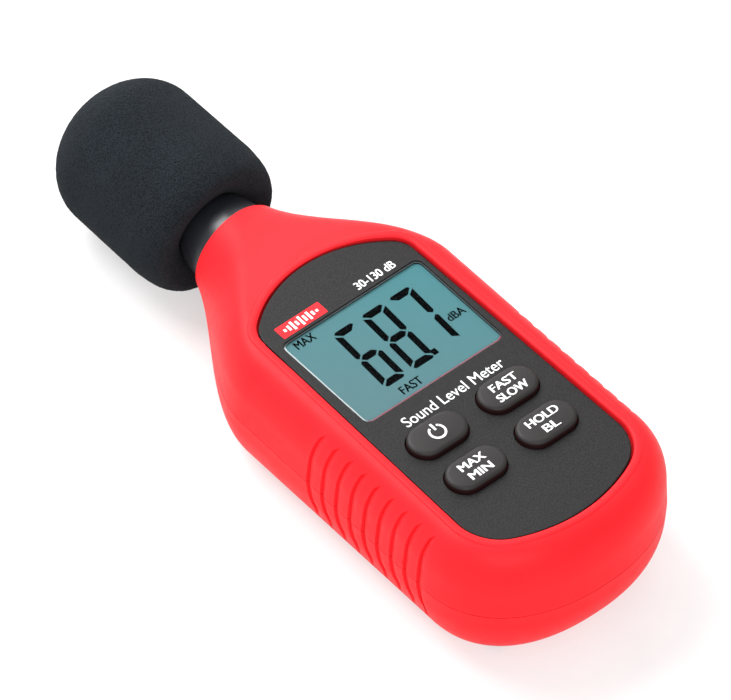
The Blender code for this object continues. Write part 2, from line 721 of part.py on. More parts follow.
def battery_leads(looks):
    """Short leads from the solder tabs up to the board."""
    start_z = BAY_ROOF_Z + BAY_WALL + 1.2 + GAP
    for i, ((x, y), run, look) in enumerate(zip(tab_places(), (2.0, 5.0), looks)):
        route = [(x, y, start_z + 0.4), (x * 1.02, y + 0.4 * run, start_z + 0.9),
                 (x * 1.05, y + run, BOARD_Z - 3 * GAP)]
        wire(f"battery_lead_{i + 1}", route, 0.6, look, sides=8)


# ---------------------------------------------------------------- microphone

def microphone(black, metal, rubber, foam, lead_looks):
    centre = (0.0, 0.0, TUBE_Z)
    neck = [(TUBE_BORE, NECK_INNER_Y), (NECK_RADIUS, NECK_INNER_Y), (NECK_RADIUS, 35.6), (8.75, 37.6),
            (8.1, 39.8), (7.2, 42.0), (6.3, 43.8), (TUBE_RADIUS, 44.8), (TUBE_RADIUS, TUBE_END_Y),
            (TUBE_BORE, TUBE_END_Y)]
    turned("microphone_neck", neck, black, axis='Y', base=centre, steps=24)
    face_y = TUBE_END_Y + GAP
    cap = [(0, face_y), (TUBE_RADIUS, face_y), (TUBE_RADIUS, face_y + 0.9),
           (TUBE_RADIUS - 0.3, face_y + 1.2), (0, face_y + 1.2)]
    grille = turned("microphone_grille", cap, black, axis='Y', base=centre, steps=24)
    for i in range(6):
        angle = math.pi * i / 3
        x, z = 3.2 * math.cos(angle), TUBE_Z + 3.2 * math.sin(angle)
        hole = [(0, face_y - 1), (0.9, face_y - 1), (0.9, face_y + 2), (0, face_y + 2)]
        cut(grille, turned(f"grille_hole_{i}", hole, None, axis='Y', base=(x, 0.0, z), steps=8))
    back_y = TUBE_END_Y - 6.5
    capsule = [(0, back_y), (CAPSULE_RADIUS - 0.3, back_y), (CAPSULE_RADIUS, back_y + 0.3),
               (CAPSULE_RADIUS, TUBE_END_Y), (0, TUBE_END_Y)]
    turned("microphone_capsule", capsule, metal, axis='Y', base=centre, steps=16)
    ring = [(2.5, back_y - 1.6), (TUBE_BORE - GAP, back_y - 1.6), (TUBE_BORE - GAP, back_y - GAP),
            (2.5, back_y - GAP)]
    turned("capsule_gasket", ring, rubber, axis='Y', base=centre, steps=16)
    for side, look in zip((-1, 1), lead_looks):
        x = 1.3 * side
        board_top = BOARD_Z + BOARD_THICKNESS + GAP
        route = [(x, back_y - GAP, TUBE_Z), (x, 51, TUBE_Z), (x, 37, TUBE_Z - 0.4), (x, 25.5, TUBE_Z),
                 (x * 1.4, 18.5, 19.5), (x * 2, 13, 22.6), (x * 2.2, 9.2, 23.1), (x * 2.2, 7.6, board_top)]
        wire(f"microphone_lead_{1 if side < 0 else 2}", route, 0.5, look, sides=8)
    bore = TUBE_RADIUS + GAP
    dome = FOAM_RADIUS - 0.2
    profile = [(0, FOAM_BORE_END_Y), (bore, FOAM_BORE_END_Y), (bore, 45.1), (7.5, 43.0), (8.8, 41.0),
               (9.9, 39.7), (12.8, FOAM_BASE_Y), (15.2, FOAM_BASE_Y + 1.1), (16.6, FOAM_BASE_Y + 3.6),
               (FOAM_RADIUS, FOAM_BASE_Y + 8.0), (FOAM_RADIUS - 0.05, FOAM_BASE_Y + 16.0),
               (dome, FOAM_DOME_Y)]
    for i in range(1, 8):
        turn = math.pi / 2 * i / 7
        radius = 0 if i == 7 else dome * math.cos(turn)
        profile.append((radius, FOAM_DOME_Y + (TIP_Y - FOAM_DOME_Y) * math.sin(turn)))
    windscreen = turned("windscreen", profile, foam, axis='Y', base=centre, steps=32)
    move_origin(windscreen, (0, FOAM_BASE_Y, TUBE_Z))


def build():
    for thing in list(bpy.data.objects):
        bpy.data.objects.remove(thing, do_unlink=True)
    red = material("red_plastic", RED, 0.42)
    dark = material("dark_plastic", DARK, 0.5)
    black = material("black_plastic", BLACK, 0.2)
    metal = material("nickel", (0.72, 0.71, 0.68), 0.3, metallic=1.0)
    rubber = material("grey_rubber", (0.12, 0.12, 0.12), 0.8)
    white = material("white_plastic", (0.85, 0.86, 0.84), 0.5)
    front_shell(red)
    back_shell(red)
    battery_door(red)
    screw("battery_door_screw", (0, DOOR_SCREW_Y), 2.2, DOOR_THICKNESS - 0.7 - GAP, 0.7, 7.6, metal)
    for i, place in enumerate(CASE_SCREWS):
        screw(f"case_screw_{i + 1}", place, 2.05, HEAD_SEAT_Z - GAP, 1.5, 12.0, metal)
    for i, place in enumerate(BOARD_SCREWS):
        screw(f"board_screw_{i + 1}", place, 2.0, BOARD_Z - GAP, 1.4, 6.5, metal)
    front_panel(dark)
    clear = material("clear_plastic", (0.9, 0.95, 0.95), 0.08, alpha=0.25)
    glass = material("lcd_teal", (0.13, 0.33, 0.36), 0.25)
    display((clear, glass, white, rubber))
    buttons(material("button_plastic", (0.055, 0.05, 0.05), 0.55), black, metal)
    main_board(material("board_green", (0.02, 0.16, 0.06), 0.5))
    components(black, metal, material("capacitor_sleeve", (0.03, 0.04, 0.12), 0.4))
    batteries(material("cell_sleeve", (0.05, 0.06, 0.08), 0.35, metallic=0.4), metal)
    wires = (material("red_lead", (0.6, 0.02, 0.02), 0.5), material("black_lead", (0.02, 0.02, 0.02), 0.5))
    battery_leads(wires)
    microphone(black, metal, rubber, material("foam", (0.022, 0.027, 0.034), 0.95), wires)


build()
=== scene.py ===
import math

import bmesh
import bpy
import numpy as np
from mathutils import Matrix, Vector


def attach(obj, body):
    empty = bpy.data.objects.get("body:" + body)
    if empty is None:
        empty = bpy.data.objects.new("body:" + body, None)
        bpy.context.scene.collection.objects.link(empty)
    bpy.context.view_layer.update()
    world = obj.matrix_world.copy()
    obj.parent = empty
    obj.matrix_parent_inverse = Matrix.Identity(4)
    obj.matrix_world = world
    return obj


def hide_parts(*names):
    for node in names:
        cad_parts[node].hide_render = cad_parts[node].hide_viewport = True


# The sound level meter's visible pieces. Sizes are in millimetres in the frame's own axes and become
# metres when a mesh is made: +X to the meter's right, +Y from its foot to the microphone, +Z out of
# the display.

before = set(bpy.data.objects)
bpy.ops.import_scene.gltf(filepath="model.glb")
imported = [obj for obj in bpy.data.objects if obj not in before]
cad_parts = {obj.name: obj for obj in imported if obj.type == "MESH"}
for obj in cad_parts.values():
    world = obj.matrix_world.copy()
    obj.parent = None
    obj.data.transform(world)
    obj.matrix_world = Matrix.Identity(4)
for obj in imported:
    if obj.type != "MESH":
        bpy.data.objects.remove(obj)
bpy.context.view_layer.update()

MM = 0.001
GAP = 0.3
PAST = 1.0  # how far a cutter reaches past the face it opens

# Case form
FOOT_Y, TIP_Y = -79.4, 79.4
HALF_WIDTH, HALF_WIDTH_TOP = 28.9, 28.4
PIVOT_Y = FOOT_Y + 21.6
FOOT_POWER = 2.17
RIM_Z = 31.25
SEAM_Z = 15.55
SEAM_LINE = 0.2
SEAM_DEPTH = 0.7  # the seam's slit closes this far in
SEAM_CLOSED = 0.01
DRAFT = 0.055
WALL, COLLAR_WALL = 2.2, 1.2
SHOULDER_Y, SHOULDER_END_Y = -0.9, 40.4
COLLAR_END_Y = 34.3
COLLAR_RADIUS = 10.7
LIP = 0.6
TOP_CORNER = (6.2, 10.2)
TOP_CORNER_POWER = 0.76
BOTTOM_CORNER = (9.0, 13.4)
SLOPE_Y = 7.7
TUBE_Z = 17.2

# Grip grooves: a sharp step towards the head, then a ramp back out
GROOVES = 9
GROOVE_TOP_Y = -20.7
GROOVE_PITCH = 4.24
GROOVE_DEPTH = 0.62
GROOVE_STEP, GROOVE_RAMP, GROOVE_RAMP_POWER = 0.16, 2.3, 1.4
GROOVE_STATIONS = (0.0, -0.16, -0.42, -0.8, -1.3, -1.8, -2.46, -3.1)
GROOVE_FADE_TOP_Z, GROOVE_FADE_FOOT_Z = (28.3, 29.6), (4.5, 9.0)
BOW_MIDDLE_Z = 18.0
BOW_FOOT_START, BOW_FOOT_SPAN, BOW_HEAD_Y = 0.2, 2.9, (-19.5, -12.0)
BOW_UP, BOW_UP_SPAN, BOW_UP_POWER = 1.3, 11.3, 2.4
BOW_DOWN, BOW_DOWN_SPAN, BOW_DOWN_POWER = 2.1, 9.0, 3
HOOK, HOOK_Z = 0.9, (28.2, 29.8)

# Mesh steps up the wall, round the edge and across the flat, and round the foot
FRONT_DETAIL, BACK_DETAIL, HOLLOW_DETAIL = (10, 16, 4), (6, 22, 4), (2, 6, 1)
FAN_STEPS, HOLLOW_FAN_STEPS = 96, 36

# Panel, display and buttons
DISPLAY_Y = -13.3
PANEL_TOP_Z = 30.75
PANEL_LOW_Z = 29.55
SEAT_Z = 29.25
INNER_TOP_Z = 27.45
PANEL_HEAD = (13.45, 28.0, 20.0, 6.0)
PANEL_FOOT = (-71.4, 36.0, 21.35, 10.5)
BEAD_WIDTH, BEAD_RISE, BEAD_ROOT = 1.8, 0.24, -1.3
BEAD_INNER_EDGE = ((0.0, 0.55), (0.05, 0.33), (0.14, 0.17), (0.3, 0.05), (0.55, 0.0))
WINDOW_SIZE, WINDOW_RADIUS, WINDOW_X = (36.6, 26.9), 1.8, 0.4
OPENING_SIZE = (41.0, 31.4)
LCD_SIZE = (39.4, 29.8)
LCD_LOW_Z, LCD_TOP_Z = 26.45, 28.45
FACE_Z = 30.1
LENS_TOP_Z = 30.55
BUTTON_SIZE = (14.0, 8.2)
BUTTON_X = 9.35
BUTTON_ROWS_Y = (-38.1, -49.85)
BUTTON_TOP_Z = 32.45
BUTTON_CLEARANCE = 0.5
BUTTON_EDGE = 1.05
BUTTON_CROWN = 0.12
BUTTON_FLANGE = ((-2.4, 25.6), (-2.4, 26.05), (1.15, 26.05), (1.2, 26.1), (1.2, 27.1), (1.15, 27.15),
                 (0, 27.15))
PANEL_INSET, PANEL_HOLE_CLEARANCE = 0.2, 0.22
BUTTON_NAMES = (("power", "fast_slow"), ("max_min", "hold_light"))

# Back
DOOR_THICKNESS, DOOR_HALF_WIDTH, DOOR_CORNER = 1.8, 18.2, 5.0
DOOR_HEAD_Y, DOOR_FOOT_Y, DOOR_SCREW_Y = -3.9, -64.6, -7.5
BAY_HALF_WIDTH, BAY_FOOT_Y, BAY_LENGTH, BAY_WALL = 16.5, -63.0, 50.0, 1.4
CELL_RADIUS, CELL_LENGTH, CELL_PITCH, CELL_Z = 5.25, 43.7, 10.8, 7.65
CELL_SHOULDER = ((0.9, 0.0), (0.45, 0.05), (0.12, 0.25), (0.0, 0.6))
CELL_TAIL = ((0.0, 0.5), (0.12, 0.2), (0.45, 0.03), (1.0, 0.0), (1.1, 0.12))
CONTACT_THICKNESS = 0.4
SPRING_WIRE, SPRING_TURNS, SPRING_RADII = 0.35, 3.5, (3.4, 1.9)
BAY_ROOF_Z = 13.35
CASE_SCREWS = ((14.0, 9.2), (-14.0, 9.2), (17.8, -66.9), (-17.8, -66.9))
HEAD_SEAT_Z = 8.0
DOOR_SEAT_MARGIN, DOOR_SEAT_DEPTH = 1.5, 1.4
FRONT_POST_RADIUS, FRONT_POST_ROOT = 2.5, 0.4
BACK_POST_RADIUS, DOOR_POST_TOP_Z = 3.0, 11.0
CASE_HEAD_HOLE, CASE_HEAD_RADIUS = 2.4, 2.05
DOOR_HEAD_HOLE, DOOR_HEAD_RADIUS, DOOR_HEAD_HEIGHT = 2.6, 2.2, 0.7
FINGER_GROOVES, FINGER_Y, FINGER_PITCH = 5, -54.0, 1.9
FINGER_REACH, FINGER_NARROWING, FINGER_WIDTH, FINGER_DEPTH = 9.0, 1.1, 0.9, 0.45
SHANK_RADIUS = 1.1
THREAD_PITCH, THREAD_CREST, THREAD_ROOT = 0.55, 0.27, 0.78
PAN_HEAD = ((0.0, 0.0), (0.55, 0.0), (0.82, 0.1), (0.95, 0.28), (1.0, 0.55))
CROSS_REACH, CROSS_HALF, CROSS_DEPTH = 0.62, 0.28, 0.6

# Lettering and the display's characters
FONT_CAP_HEIGHT = 0.729
INK_HEIGHT, INK_STEP, INK_SUNK = 0.02, 0.008, 0.14
DISPLAY_WORDS = (("max", "MAX", 2.2, -12.9, 11.7, 4.9), ("fast", "FAST", 2.2, -4.1, -10.7, 5.3),
                 ("unit", "dBA", 2.1, 15.2, -2.2, 4.2))
LEGENDS = (("fast_slow", "FAST", 1, 6.6), ("fast_slow", "SLOW", -1, 7.6), ("max_min", "MAX", 1, 6.3),
           ("max_min", "MIN", -1, 5.6), ("hold_light", "HOLD", 1, 7.9), ("hold_light", "BL", -1, 3.7))
LEGEND_HEIGHT, LEGEND_RISE = 2.05, 1.45
POWER_RING, POWER_OPENING = (1.95, 1.45), (120, 420)
POWER_STROKE = ((-0.25, 0.5), (0.25, 0.5), (0.25, 2.35), (-0.25, 2.35))
SEGMENTS = {"6": "acdefg", "8": "abcdefg", "7": "abc"}
DIGIT_HEIGHT, DIGIT_LEAN, DIGITS_LOW_Y = 17.6, 0.05, -21.5
STROKE_ACROSS, STROKE_DOWN, STROKE_GAP = 1.5, 1.8, 0.2
BADGE_CENTRE, BADGE_SIZE = (-10.3, 2.5), (11.6, 3.3)
BADGE_BARS = (0.35, 0.7, 1.15, 0.6, 1.25, 0.8, 1.1, 0.55, 0.3)

# Microphone and windscreen
TUBE_RADIUS, TUBE_BORE, TUBE_END_Y = 6.0, 5.3, 70.8
NECK_RADIUS, NECK_DOME_Y, NECK_DOME_LENGTH = 9.35, 34.8, 8.6
GRILLE_LOW_Y, SOUND_HOLES, SOUND_HOLE_RADIUS = 71.1, ((6, 1.8), (12, 3.9)), 0.55
FOAM_RADIUS, FOAM_TAPER, FOAM_DOME_Y, FOAM_BORE, FOAM_END_Y = 17.05, 0.2, 66.2, 6.3, 73.2
# The mouth's dished face, from the bore out to the skin, as (radius, y)
FOAM_MOUTH = ((6.8, 44.0), (7.4, 43.0), (7.9, 42.3), (8.4, 41.7), (9.1, 41.1), (10.0, 40.5), (11.0, 40.0),
              (12.0, 39.65), (12.9, 39.42), (13.7, 39.4), (14.5, 39.65), (15.3, 40.3), (15.95, 41.4),
              (16.45, 42.8), (16.75, 44.4), (16.93, 46.0))
FOAM_BARE_RADIUS, FOAM_FADE, FOAM_TIP_Y = 9.0, 3.0, 74.5
PORE_LEAST, PORE_MOST, PORE_SEED = 0.02, 0.11, 7


def smooth_step(value, start, end):
    """0 below start, 1 above end, and a smooth S between."""
    t = min(max((value - start) / (end - start), 0.0), 1.0)
    return t * t * (3.0 - 2.0 * t)


def mix(a, b, t):
    return a + (b - a) * t


# ----- material nodes

class Look:
    """A Principled material with helpers for its procedural detail, in object space."""

    def __init__(self, name, roughness=0.5, metallic=0.0, **settings):
        self.material = bpy.data.materials.new(name)
        self.material.use_nodes = True
        self.nodes = self.material.node_tree.nodes
        self.links = self.material.node_tree.links
        self.shader = self.nodes["Principled BSDF"]
        self.shader.inputs["Roughness"].default_value = roughness
        self.shader.inputs["Metallic"].default_value = metallic
        for socket, value in settings.items():
            self.shader.inputs[socket.replace("_", " ")].default_value = value
        self.place = self.nodes.new("ShaderNodeTexCoord").outputs["Object"]

    def noise(self, scale, detail=2.0, roughness=0.5, place=None):
        node = self.nodes.new("ShaderNodeTexNoise")
        node.inputs["Scale"].default_value = scale
        node.inputs["Detail"].default_value = detail
        node.inputs["Roughness"].default_value = roughness
        self.links.new(place or self.place, node.inputs["Vector"])
        return node.outputs["Fac"]

    def cells(self, scale, feature='F1'):
        node = self.nodes.new("ShaderNodeTexVoronoi")
        node.feature = feature
        node.inputs["Scale"].default_value = scale
        self.links.new(self.place, node.inputs["Vector"])
        return node.outputs["Distance"]

    def stretched(self, scale):
        """Object coordinates scaled along each axis."""
        node = self.nodes.new("ShaderNodeMapping")
        node.inputs["Scale"].default_value = scale
        self.links.new(self.place, node.inputs["Vector"])
        return node.outputs["Vector"]

    def along(self, axis):
        node = self.nodes.new("ShaderNodeSeparateXYZ")
        self.links.new(self.place, node.inputs["Vector"])
        return node.outputs[axis]

    def level(self, value, low, high, to_low=0.0, to_high=1.0):
        node = self.nodes.new("ShaderNodeMapRange")
        for socket, number in zip(("From Min", "From Max", "To Min", "To Max"), (low, high, to_low, to_high)):
            node.inputs[socket].default_value = number
        self.links.new(value, node.inputs["Value"])
        return node.outputs["Result"]

    def maths(self, operation, a, b):
        node = self.nodes.new("ShaderNodeMath")
        node.operation = operation
        self.links.new(a, node.inputs[0])
        self.links.new(b, node.inputs[1])
        return node.outputs["Value"]

    def blend(self, factor, first, second):
        node = self.nodes.new("ShaderNodeMix")
        node.data_type = 'RGBA'
        self.links.new(factor, node.inputs["Factor"])
        for socket, value in zip((node.inputs[6], node.inputs[7]), (first, second)):
            if isinstance(value, tuple):
                socket.default_value = (*value, 1.0)
            else:
                self.links.new(value, socket)
        return node.outputs[2]

    def edges(self):
        """How convex the surface is, for rubbed wear and a painted highlight along edges."""
        return self.nodes.new("ShaderNodeNewGeometry").outputs["Pointiness"]

    def colour(self, value):
        self.links.new(value, self.shader.inputs["Base Color"])
        return self

    def rough(self, value, low, high):
        self.links.new(self.level(value, 0.3, 0.7, low, high), self.shader.inputs["Roughness"])
        return self

    def bump(self, height, strength, depth):
        node = self.nodes.new("ShaderNodeBump")
        node.inputs["Strength"].default_value = strength
        node.inputs["Distance"].default_value = depth * MM
        self.links.new(height, node.inputs["Height"])
        self.links.new(node.outputs["Normal"], self.shader.inputs["Normal"])
        return self


def moulded(name, colour, paler, low, high, grain=5000.0, depth=0.03, strength=0.35, edge_wear_and_highlight=None, **settings):
    """Moulded plastic with a fine spark-eroded grain, soft colour drift, and edges lightened partly as rubbed
    wear and partly as a painted highlight.
    """
    look = Look(name, **settings)
    drift = look.level(look.noise(70.0, 3.0), 0.35, 0.65)
    body = look.blend(drift, colour, paler)
    # convex edges lightened: partly rubbed wear, partly a painted highlight
    if edge_wear_and_highlight:
        body = look.blend(look.level(look.edges(), 0.52, 0.62, 0.0, 0.55), body, edge_wear_and_highlight)
    look.colour(body)
    look.rough(look.noise(420.0, 4.0), low, high)
    return look.bump(look.noise(grain, 2.0, 0.6), strength, depth)


def build_looks():
    looks = {}
    # the red's paler edge colour is partly rubbed wear and partly a painted edge highlight
    looks["red"] = moulded("red_moulded", (0.78, 0.0145, 0.0205), (0.82, 0.0165, 0.0230), 0.40, 0.48,
                           edge_wear_and_highlight=(0.85, 0.034, 0.042), Specular_IOR_Level=0.09)
    looks["panel"] = panel_look()
    looks["button"] = button_look()
    looks["gloss"] = moulded("gloss_black", (0.0140, 0.0150, 0.0195), (0.0175, 0.0185, 0.0235), 0.28, 0.36,
                             grain=900.0, depth=0.004, strength=0.2)
    looks["black"] = moulded("satin_black", (0.010, 0.010, 0.011), (0.016, 0.016, 0.017), 0.4, 0.55)
    looks["white"] = moulded("white_moulded", (0.74, 0.75, 0.73), (0.80, 0.81, 0.79), 0.4, 0.55)
    looks["rubber"] = moulded("grey_rubber", (0.055, 0.055, 0.057), (0.075, 0.075, 0.077), 0.7, 0.9)
    looks["print"] = moulded("white_ink", (0.74, 0.75, 0.76), (0.84, 0.85, 0.86), 0.45, 0.6,
                             grain=6000.0, depth=0.01)
    looks["ink"] = moulded("segment_black", (0.0012, 0.0016, 0.0018), (0.0022, 0.0026, 0.0030), 0.3, 0.4,
                           grain=6000.0, depth=0.005, Specular_IOR_Level=0.0)
    looks["red_lead"] = moulded("red_insulation", (0.45, 0.012, 0.012), (0.55, 0.02, 0.018), 0.3, 0.42)
    looks["black_lead"] = moulded("black_insulation", (0.012, 0.012, 0.012), (0.02, 0.02, 0.02), 0.3, 0.42)
    looks["sleeve"] = moulded("capacitor_sleeve", (0.015, 0.02, 0.09), (0.02, 0.028, 0.11), 0.25, 0.35)
    looks["foam"] = foam_look()
    looks["lcd"] = lcd_look()
    looks["clear"] = clear_look()
    looks["bevel"] = bevel_look()
    looks["metal"] = metal_look()
    looks["board"] = board_look()
    looks["cell"] = cell_look()
    looks["chip"] = moulded("chip_epoxy", (0.010, 0.010, 0.011), (0.017, 0.017, 0.018), 0.5, 0.65,
                            grain=7000.0, depth=0.03)
    return looks


def panel_look():
    """A dark satin plate with fine pale flecks."""
    look = Look("panel_satin", Specular_IOR_Level=0.2)
    flecks = look.level(look.noise(4200.0, 1.0, 0.5), 0.40, 0.62)
    look.colour(look.blend(flecks, (0.0045, 0.0042, 0.0044), (0.0180, 0.0170, 0.0173)))
    look.rough(look.noise(420.0, 4.0), 0.42, 0.54)
    return look.bump(look.noise(3200.0, 2.0, 0.6), 0.5, 0.05)


def button_look():
    """Satin caps: charcoal tops, and sides painted dark maroon as painted shade and a painted red reflection
    of the case below.
    """
    look = moulded("button_satin", (0.0180, 0.0160, 0.0160), (0.0215, 0.0190, 0.0190), 0.46, 0.58,
                   grain=4200.0, depth=0.03, Specular_IOR_Level=0.22)
    top = look.shader.inputs["Base Color"].links[0].from_socket
    upright = look.nodes.new("ShaderNodeSeparateXYZ")
    look.links.new(look.nodes.new("ShaderNodeNewGeometry").outputs["Normal"], upright.inputs["Vector"])
    # sides that face away from up get painted shade and a painted red reflection of the case
    shade_free_top = look.level(upright.outputs["Z"], 0.1, 0.75)
    return look.colour(look.blend(shade_free_top, (0.014, 0.0030, 0.0032), top))


def foam_look():
    """Open-cell foam: small pores of several sizes, painted darker inside as painted shade in their hollows,
    with a soft nap.
    """
    look = Look("open_cell_foam", Specular_IOR_Level=0.08, Sheen_Weight=0.03, Sheen_Roughness=0.6)
    pores = look.level(look.cells(2700.0), 0.15, 0.6)
    fine = look.noise(5200.0, 3.0, 0.7)
    texture = look.maths('MULTIPLY', pores, look.level(fine, 0.35, 0.65, 0.3, 1.5))
    tone = look.level(look.noise(90.0, 2.0), 0.35, 0.65, 0.85, 1.15)
    factor = look.maths('MULTIPLY', texture, tone)
    # near-black towards pore centres: painted shade in the pore hollows
    look.colour(look.blend(factor, (0.0002, 0.0006, 0.0012), (0.0135, 0.0205, 0.0275)))
    look.rough(fine, 0.85, 1.0)
    return look.bump(texture, 0.9, 0.22)


def lcd_look():
    """The display's polariser: blue-green, with a painted sheen that makes it a little lighter and greyer
    towards its lower left.
    """
    look = Look("lcd_polariser", Specular_IOR_Level=0.08)
    # painted sheen: the colour turns lighter and greyer towards the lower left
    across = look.level(look.along("X"), -0.018, 0.018, 0.0, 0.6)
    up = look.level(look.along("Y"), -0.0264, -0.0002, 0.0, 0.4)
    corner = look.maths('ADD', across, up)
    drift = look.level(look.noise(45.0, 2.0), 0.3, 0.7, -0.05, 0.05)
    tone = look.maths('ADD', corner, drift)
    look.colour(look.blend(tone, (0.080, 0.158, 0.172), (0.052, 0.170, 0.188)))
    look.rough(look.noise(900.0), 0.3, 0.4)
    return look.bump(look.noise(6000.0), 0.1, 0.005)


def clear_look():
    """The clear lens: nearly invisible but for its gloss and a very slight waviness."""
    look = Look("clear_lens", Alpha=0.03, Specular_IOR_Level=0.4)
    haze = look.level(look.noise(300.0, 3.0), 0.3, 0.7)
    look.colour(look.blend(haze, (0.004, 0.0045, 0.005), (0.00388, 0.004365, 0.00485)))
    look.rough(look.noise(1200.0), 0.07, 0.12)
    return look.bump(look.noise(150.0), 0.05, 0.01)


def bevel_look():
    """The lens's edge, painted pale as a painted highlight line and brightest along its left side, with a
    painted red reflection of the case along its lower side.
    """
    look = Look("lens_edge", Alpha=0.6)
    # painted red reflection of the case along the lower side
    low = look.level(look.along("Y"), -0.02595, -0.02610)
    broken = look.level(look.noise(500.0, 3.0), 0.35, 0.65, 0.75, 1.0)
    painted_red_reflection = look.maths('MULTIPLY', low, broken)
    # painted highlight: the left side is much paler than the rest of the edge
    left = look.level(look.along("X"), -0.0170, -0.0174)
    painted_highlight_tint = look.blend(left, (0.10, 0.12, 0.125), (0.36, 0.40, 0.41))
    look.colour(look.blend(painted_red_reflection, painted_highlight_tint, (0.42, 0.05, 0.09)))
    look.rough(look.noise(2500.0), 0.2, 0.35)
    return look.bump(look.noise(3000.0), 0.2, 0.01)


def metal_look():
    """Nickel plate with a faint drawn grain."""
    look = Look("nickel_plate", metallic=1.0)
    brushed = look.noise(900.0, 4.0, 0.6, look.stretched((1.0, 6.0, 1.0)))
    look.colour(look.blend(look.level(brushed, 0.3, 0.7), (0.64, 0.62, 0.58), (0.74, 0.73, 0.70)))
    look.rough(brushed, 0.22, 0.38)
    return look.bump(brushed, 0.15, 0.01)


def board_look():
    """Green solder mask over copper tracks."""
    look = Look("solder_mask", Coat_Weight=0.4, Coat_Roughness=0.2)
    tracks = look.level(look.cells(300.0, 'DISTANCE_TO_EDGE'), 0.05, 0.09)
    look.colour(look.blend(tracks, (0.035, 0.20, 0.075), (0.012, 0.10, 0.035)))
    look.rough(look.noise(500.0), 0.35, 0.5)
    return look.bump(tracks, 0.3, 0.03)


def cell_look():
    """A dry cell's printed sleeve: dark body with a copper-coloured band towards its plus end."""
    look = Look("cell_sleeve", metallic=0.6)
    band = look.level(look.along("Y"), -0.0262, -0.0258)
    body = look.blend(look.level(look.noise(150.0), 0.3, 0.7), (0.02, 0.021, 0.025), (0.028, 0.029, 0.034))
    look.colour(look.blend(band, body, (0.55, 0.26, 0.10)))
    look.rough(look.noise(700.0), 0.25, 0.35)
    return look.bump(look.noise(200.0), 0.05, 0.01)


LOOKS = build_looks()


# ----- meshes

def piece(name, points, faces, look, sharp=38.0):
    """A mesh object from points in millimetres, with its faces turned out and smooth shading."""
    mesh = bpy.data.meshes.new(name)
    built = bmesh.new()
    corners = [built.verts.new((p[0] * MM, p[1] * MM, p[2] * MM)) for p in points]
    for face in faces:
        built.faces.new([corners[i] for i in face])
    bmesh.ops.remove_doubles(built, verts=built.verts, dist=2e-8)
    bmesh.ops.recalc_face_normals(built, faces=built.faces)
    built.to_mesh(mesh)
    built.free()
    made = bpy.data.objects.new(name, mesh)
    bpy.context.collection.objects.link(made)
    if look:
        mesh.materials.append(LOOKS[look].material)
    shade(made, sharp)
    return made


def shade(made, sharp=38.0):
    made.data.shade_smooth()
    made.data.set_sharp_from_angle(angle=math.radians(sharp))


def apply_modifiers(made):
    graph = bpy.context.evaluated_depsgraph_get()
    mesh = bpy.data.meshes.new_from_object(made.evaluated_get(graph), depsgraph=graph)
    made.modifiers.clear()
    made.data = mesh
    return made


def combine(target, tools, operation='DIFFERENCE'):
    """Cut tools out of the target, or join them to it, and remove them."""
    for tool in tools:
        step = target.modifiers.new(tool.name, 'BOOLEAN')
        step.operation = operation
        step.solver = 'MANIFOLD'
        step.object = tool
        apply_modifiers(target)
        bpy.data.objects.remove(tool, do_unlink=True)
    return target


def settle(made, sharp=38.0):
    """Shade a carved piece evenly: flat where it is flat, and smooth over its curves."""
    shade(made, sharp)
    step = made.modifiers.new("weighted", 'WEIGHTED_NORMAL')
    step.keep_sharp = True
    return apply_modifiers(made)


def place(made, body, slot, *nodes):
    """Let a piece ride on a body and stand for CAD nodes; the slot, its finish's name, is not used."""
    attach(made, body)
    if nodes:
        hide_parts(*nodes)
    return made


def arc(centre, radius, start, end, steps):
    """Points on an arc, with angles in degrees."""
    points = []
    for i in range(steps + 1):
        angle = math.radians(mix(start, end, i / steps))
        points.append((centre[0] + radius * math.cos(angle), centre[1] + radius * math.sin(angle)))
    return points


def rounded_rectangle(width, length, radius, centre=(0.0, 0.0), steps=10):
    x, y = width / 2 - radius, length / 2 - radius
    points = []
    for side_x, side_y, start in ((x, y, 0), (-x, y, 90), (-x, -y, 180), (x, -y, 270)):
        points += arc((centre[0] + side_x, centre[1] + side_y), radius, start, start + 90, steps)
    return points


def circle(radius, centre=(0.0, 0.0), steps=32):
    return arc(centre, radius, 0, 360, steps)[:-1]


def stadium(grow, centre):
    width, length = BUTTON_SIZE[0] + 2 * grow, BUTTON_SIZE[1] + 2 * grow
    return rounded_rectangle(width, length, length / 2 - 0.001, centre, steps=16)


def window_outline(grow):
    width, length = WINDOW_SIZE
    return rounded_rectangle(width + 2 * grow, length + 2 * grow, WINDOW_RADIUS + grow, (WINDOW_X, DISPLAY_Y))


def door_outline(grow):
    middle = (0.0, (DOOR_HEAD_Y + DOOR_FOOT_Y) / 2)
    length = DOOR_HEAD_Y - DOOR_FOOT_Y + 2 * grow
    return rounded_rectangle(2 * (DOOR_HALF_WIDTH + grow), length, DOOR_CORNER + grow, middle)


def panel_outline(grow=0.0, steps=40):
    """Broad arcs at the head and the foot, straight sides, and a fillet at each corner."""
    quarter = []
    for (peak_y, radius, side, fillet), sign in ((PANEL_HEAD, 1), (PANEL_FOOT, -1)):
        arc_y = peak_y - sign * radius
        radius += grow
        fillet += grow
        fillet_x = side + grow - fillet
        rise = math.sqrt((radius - fillet) ** 2 - fillet_x ** 2)
        tangent = math.degrees(math.atan2(rise, fillet_x))
        corner = arc((fillet_x, arc_y + sign * rise), fillet, 0, sign * tangent, 16)
        broad = arc((0.0, arc_y), radius, sign * tangent, sign * 90, steps)
        quarter.append(corner + broad[1:])
    head, foot = quarter
    right = foot[::-1] + head
    left = [(-x, y) for x, y in right[::-1]]
    return right[:-1] + left[:-1]


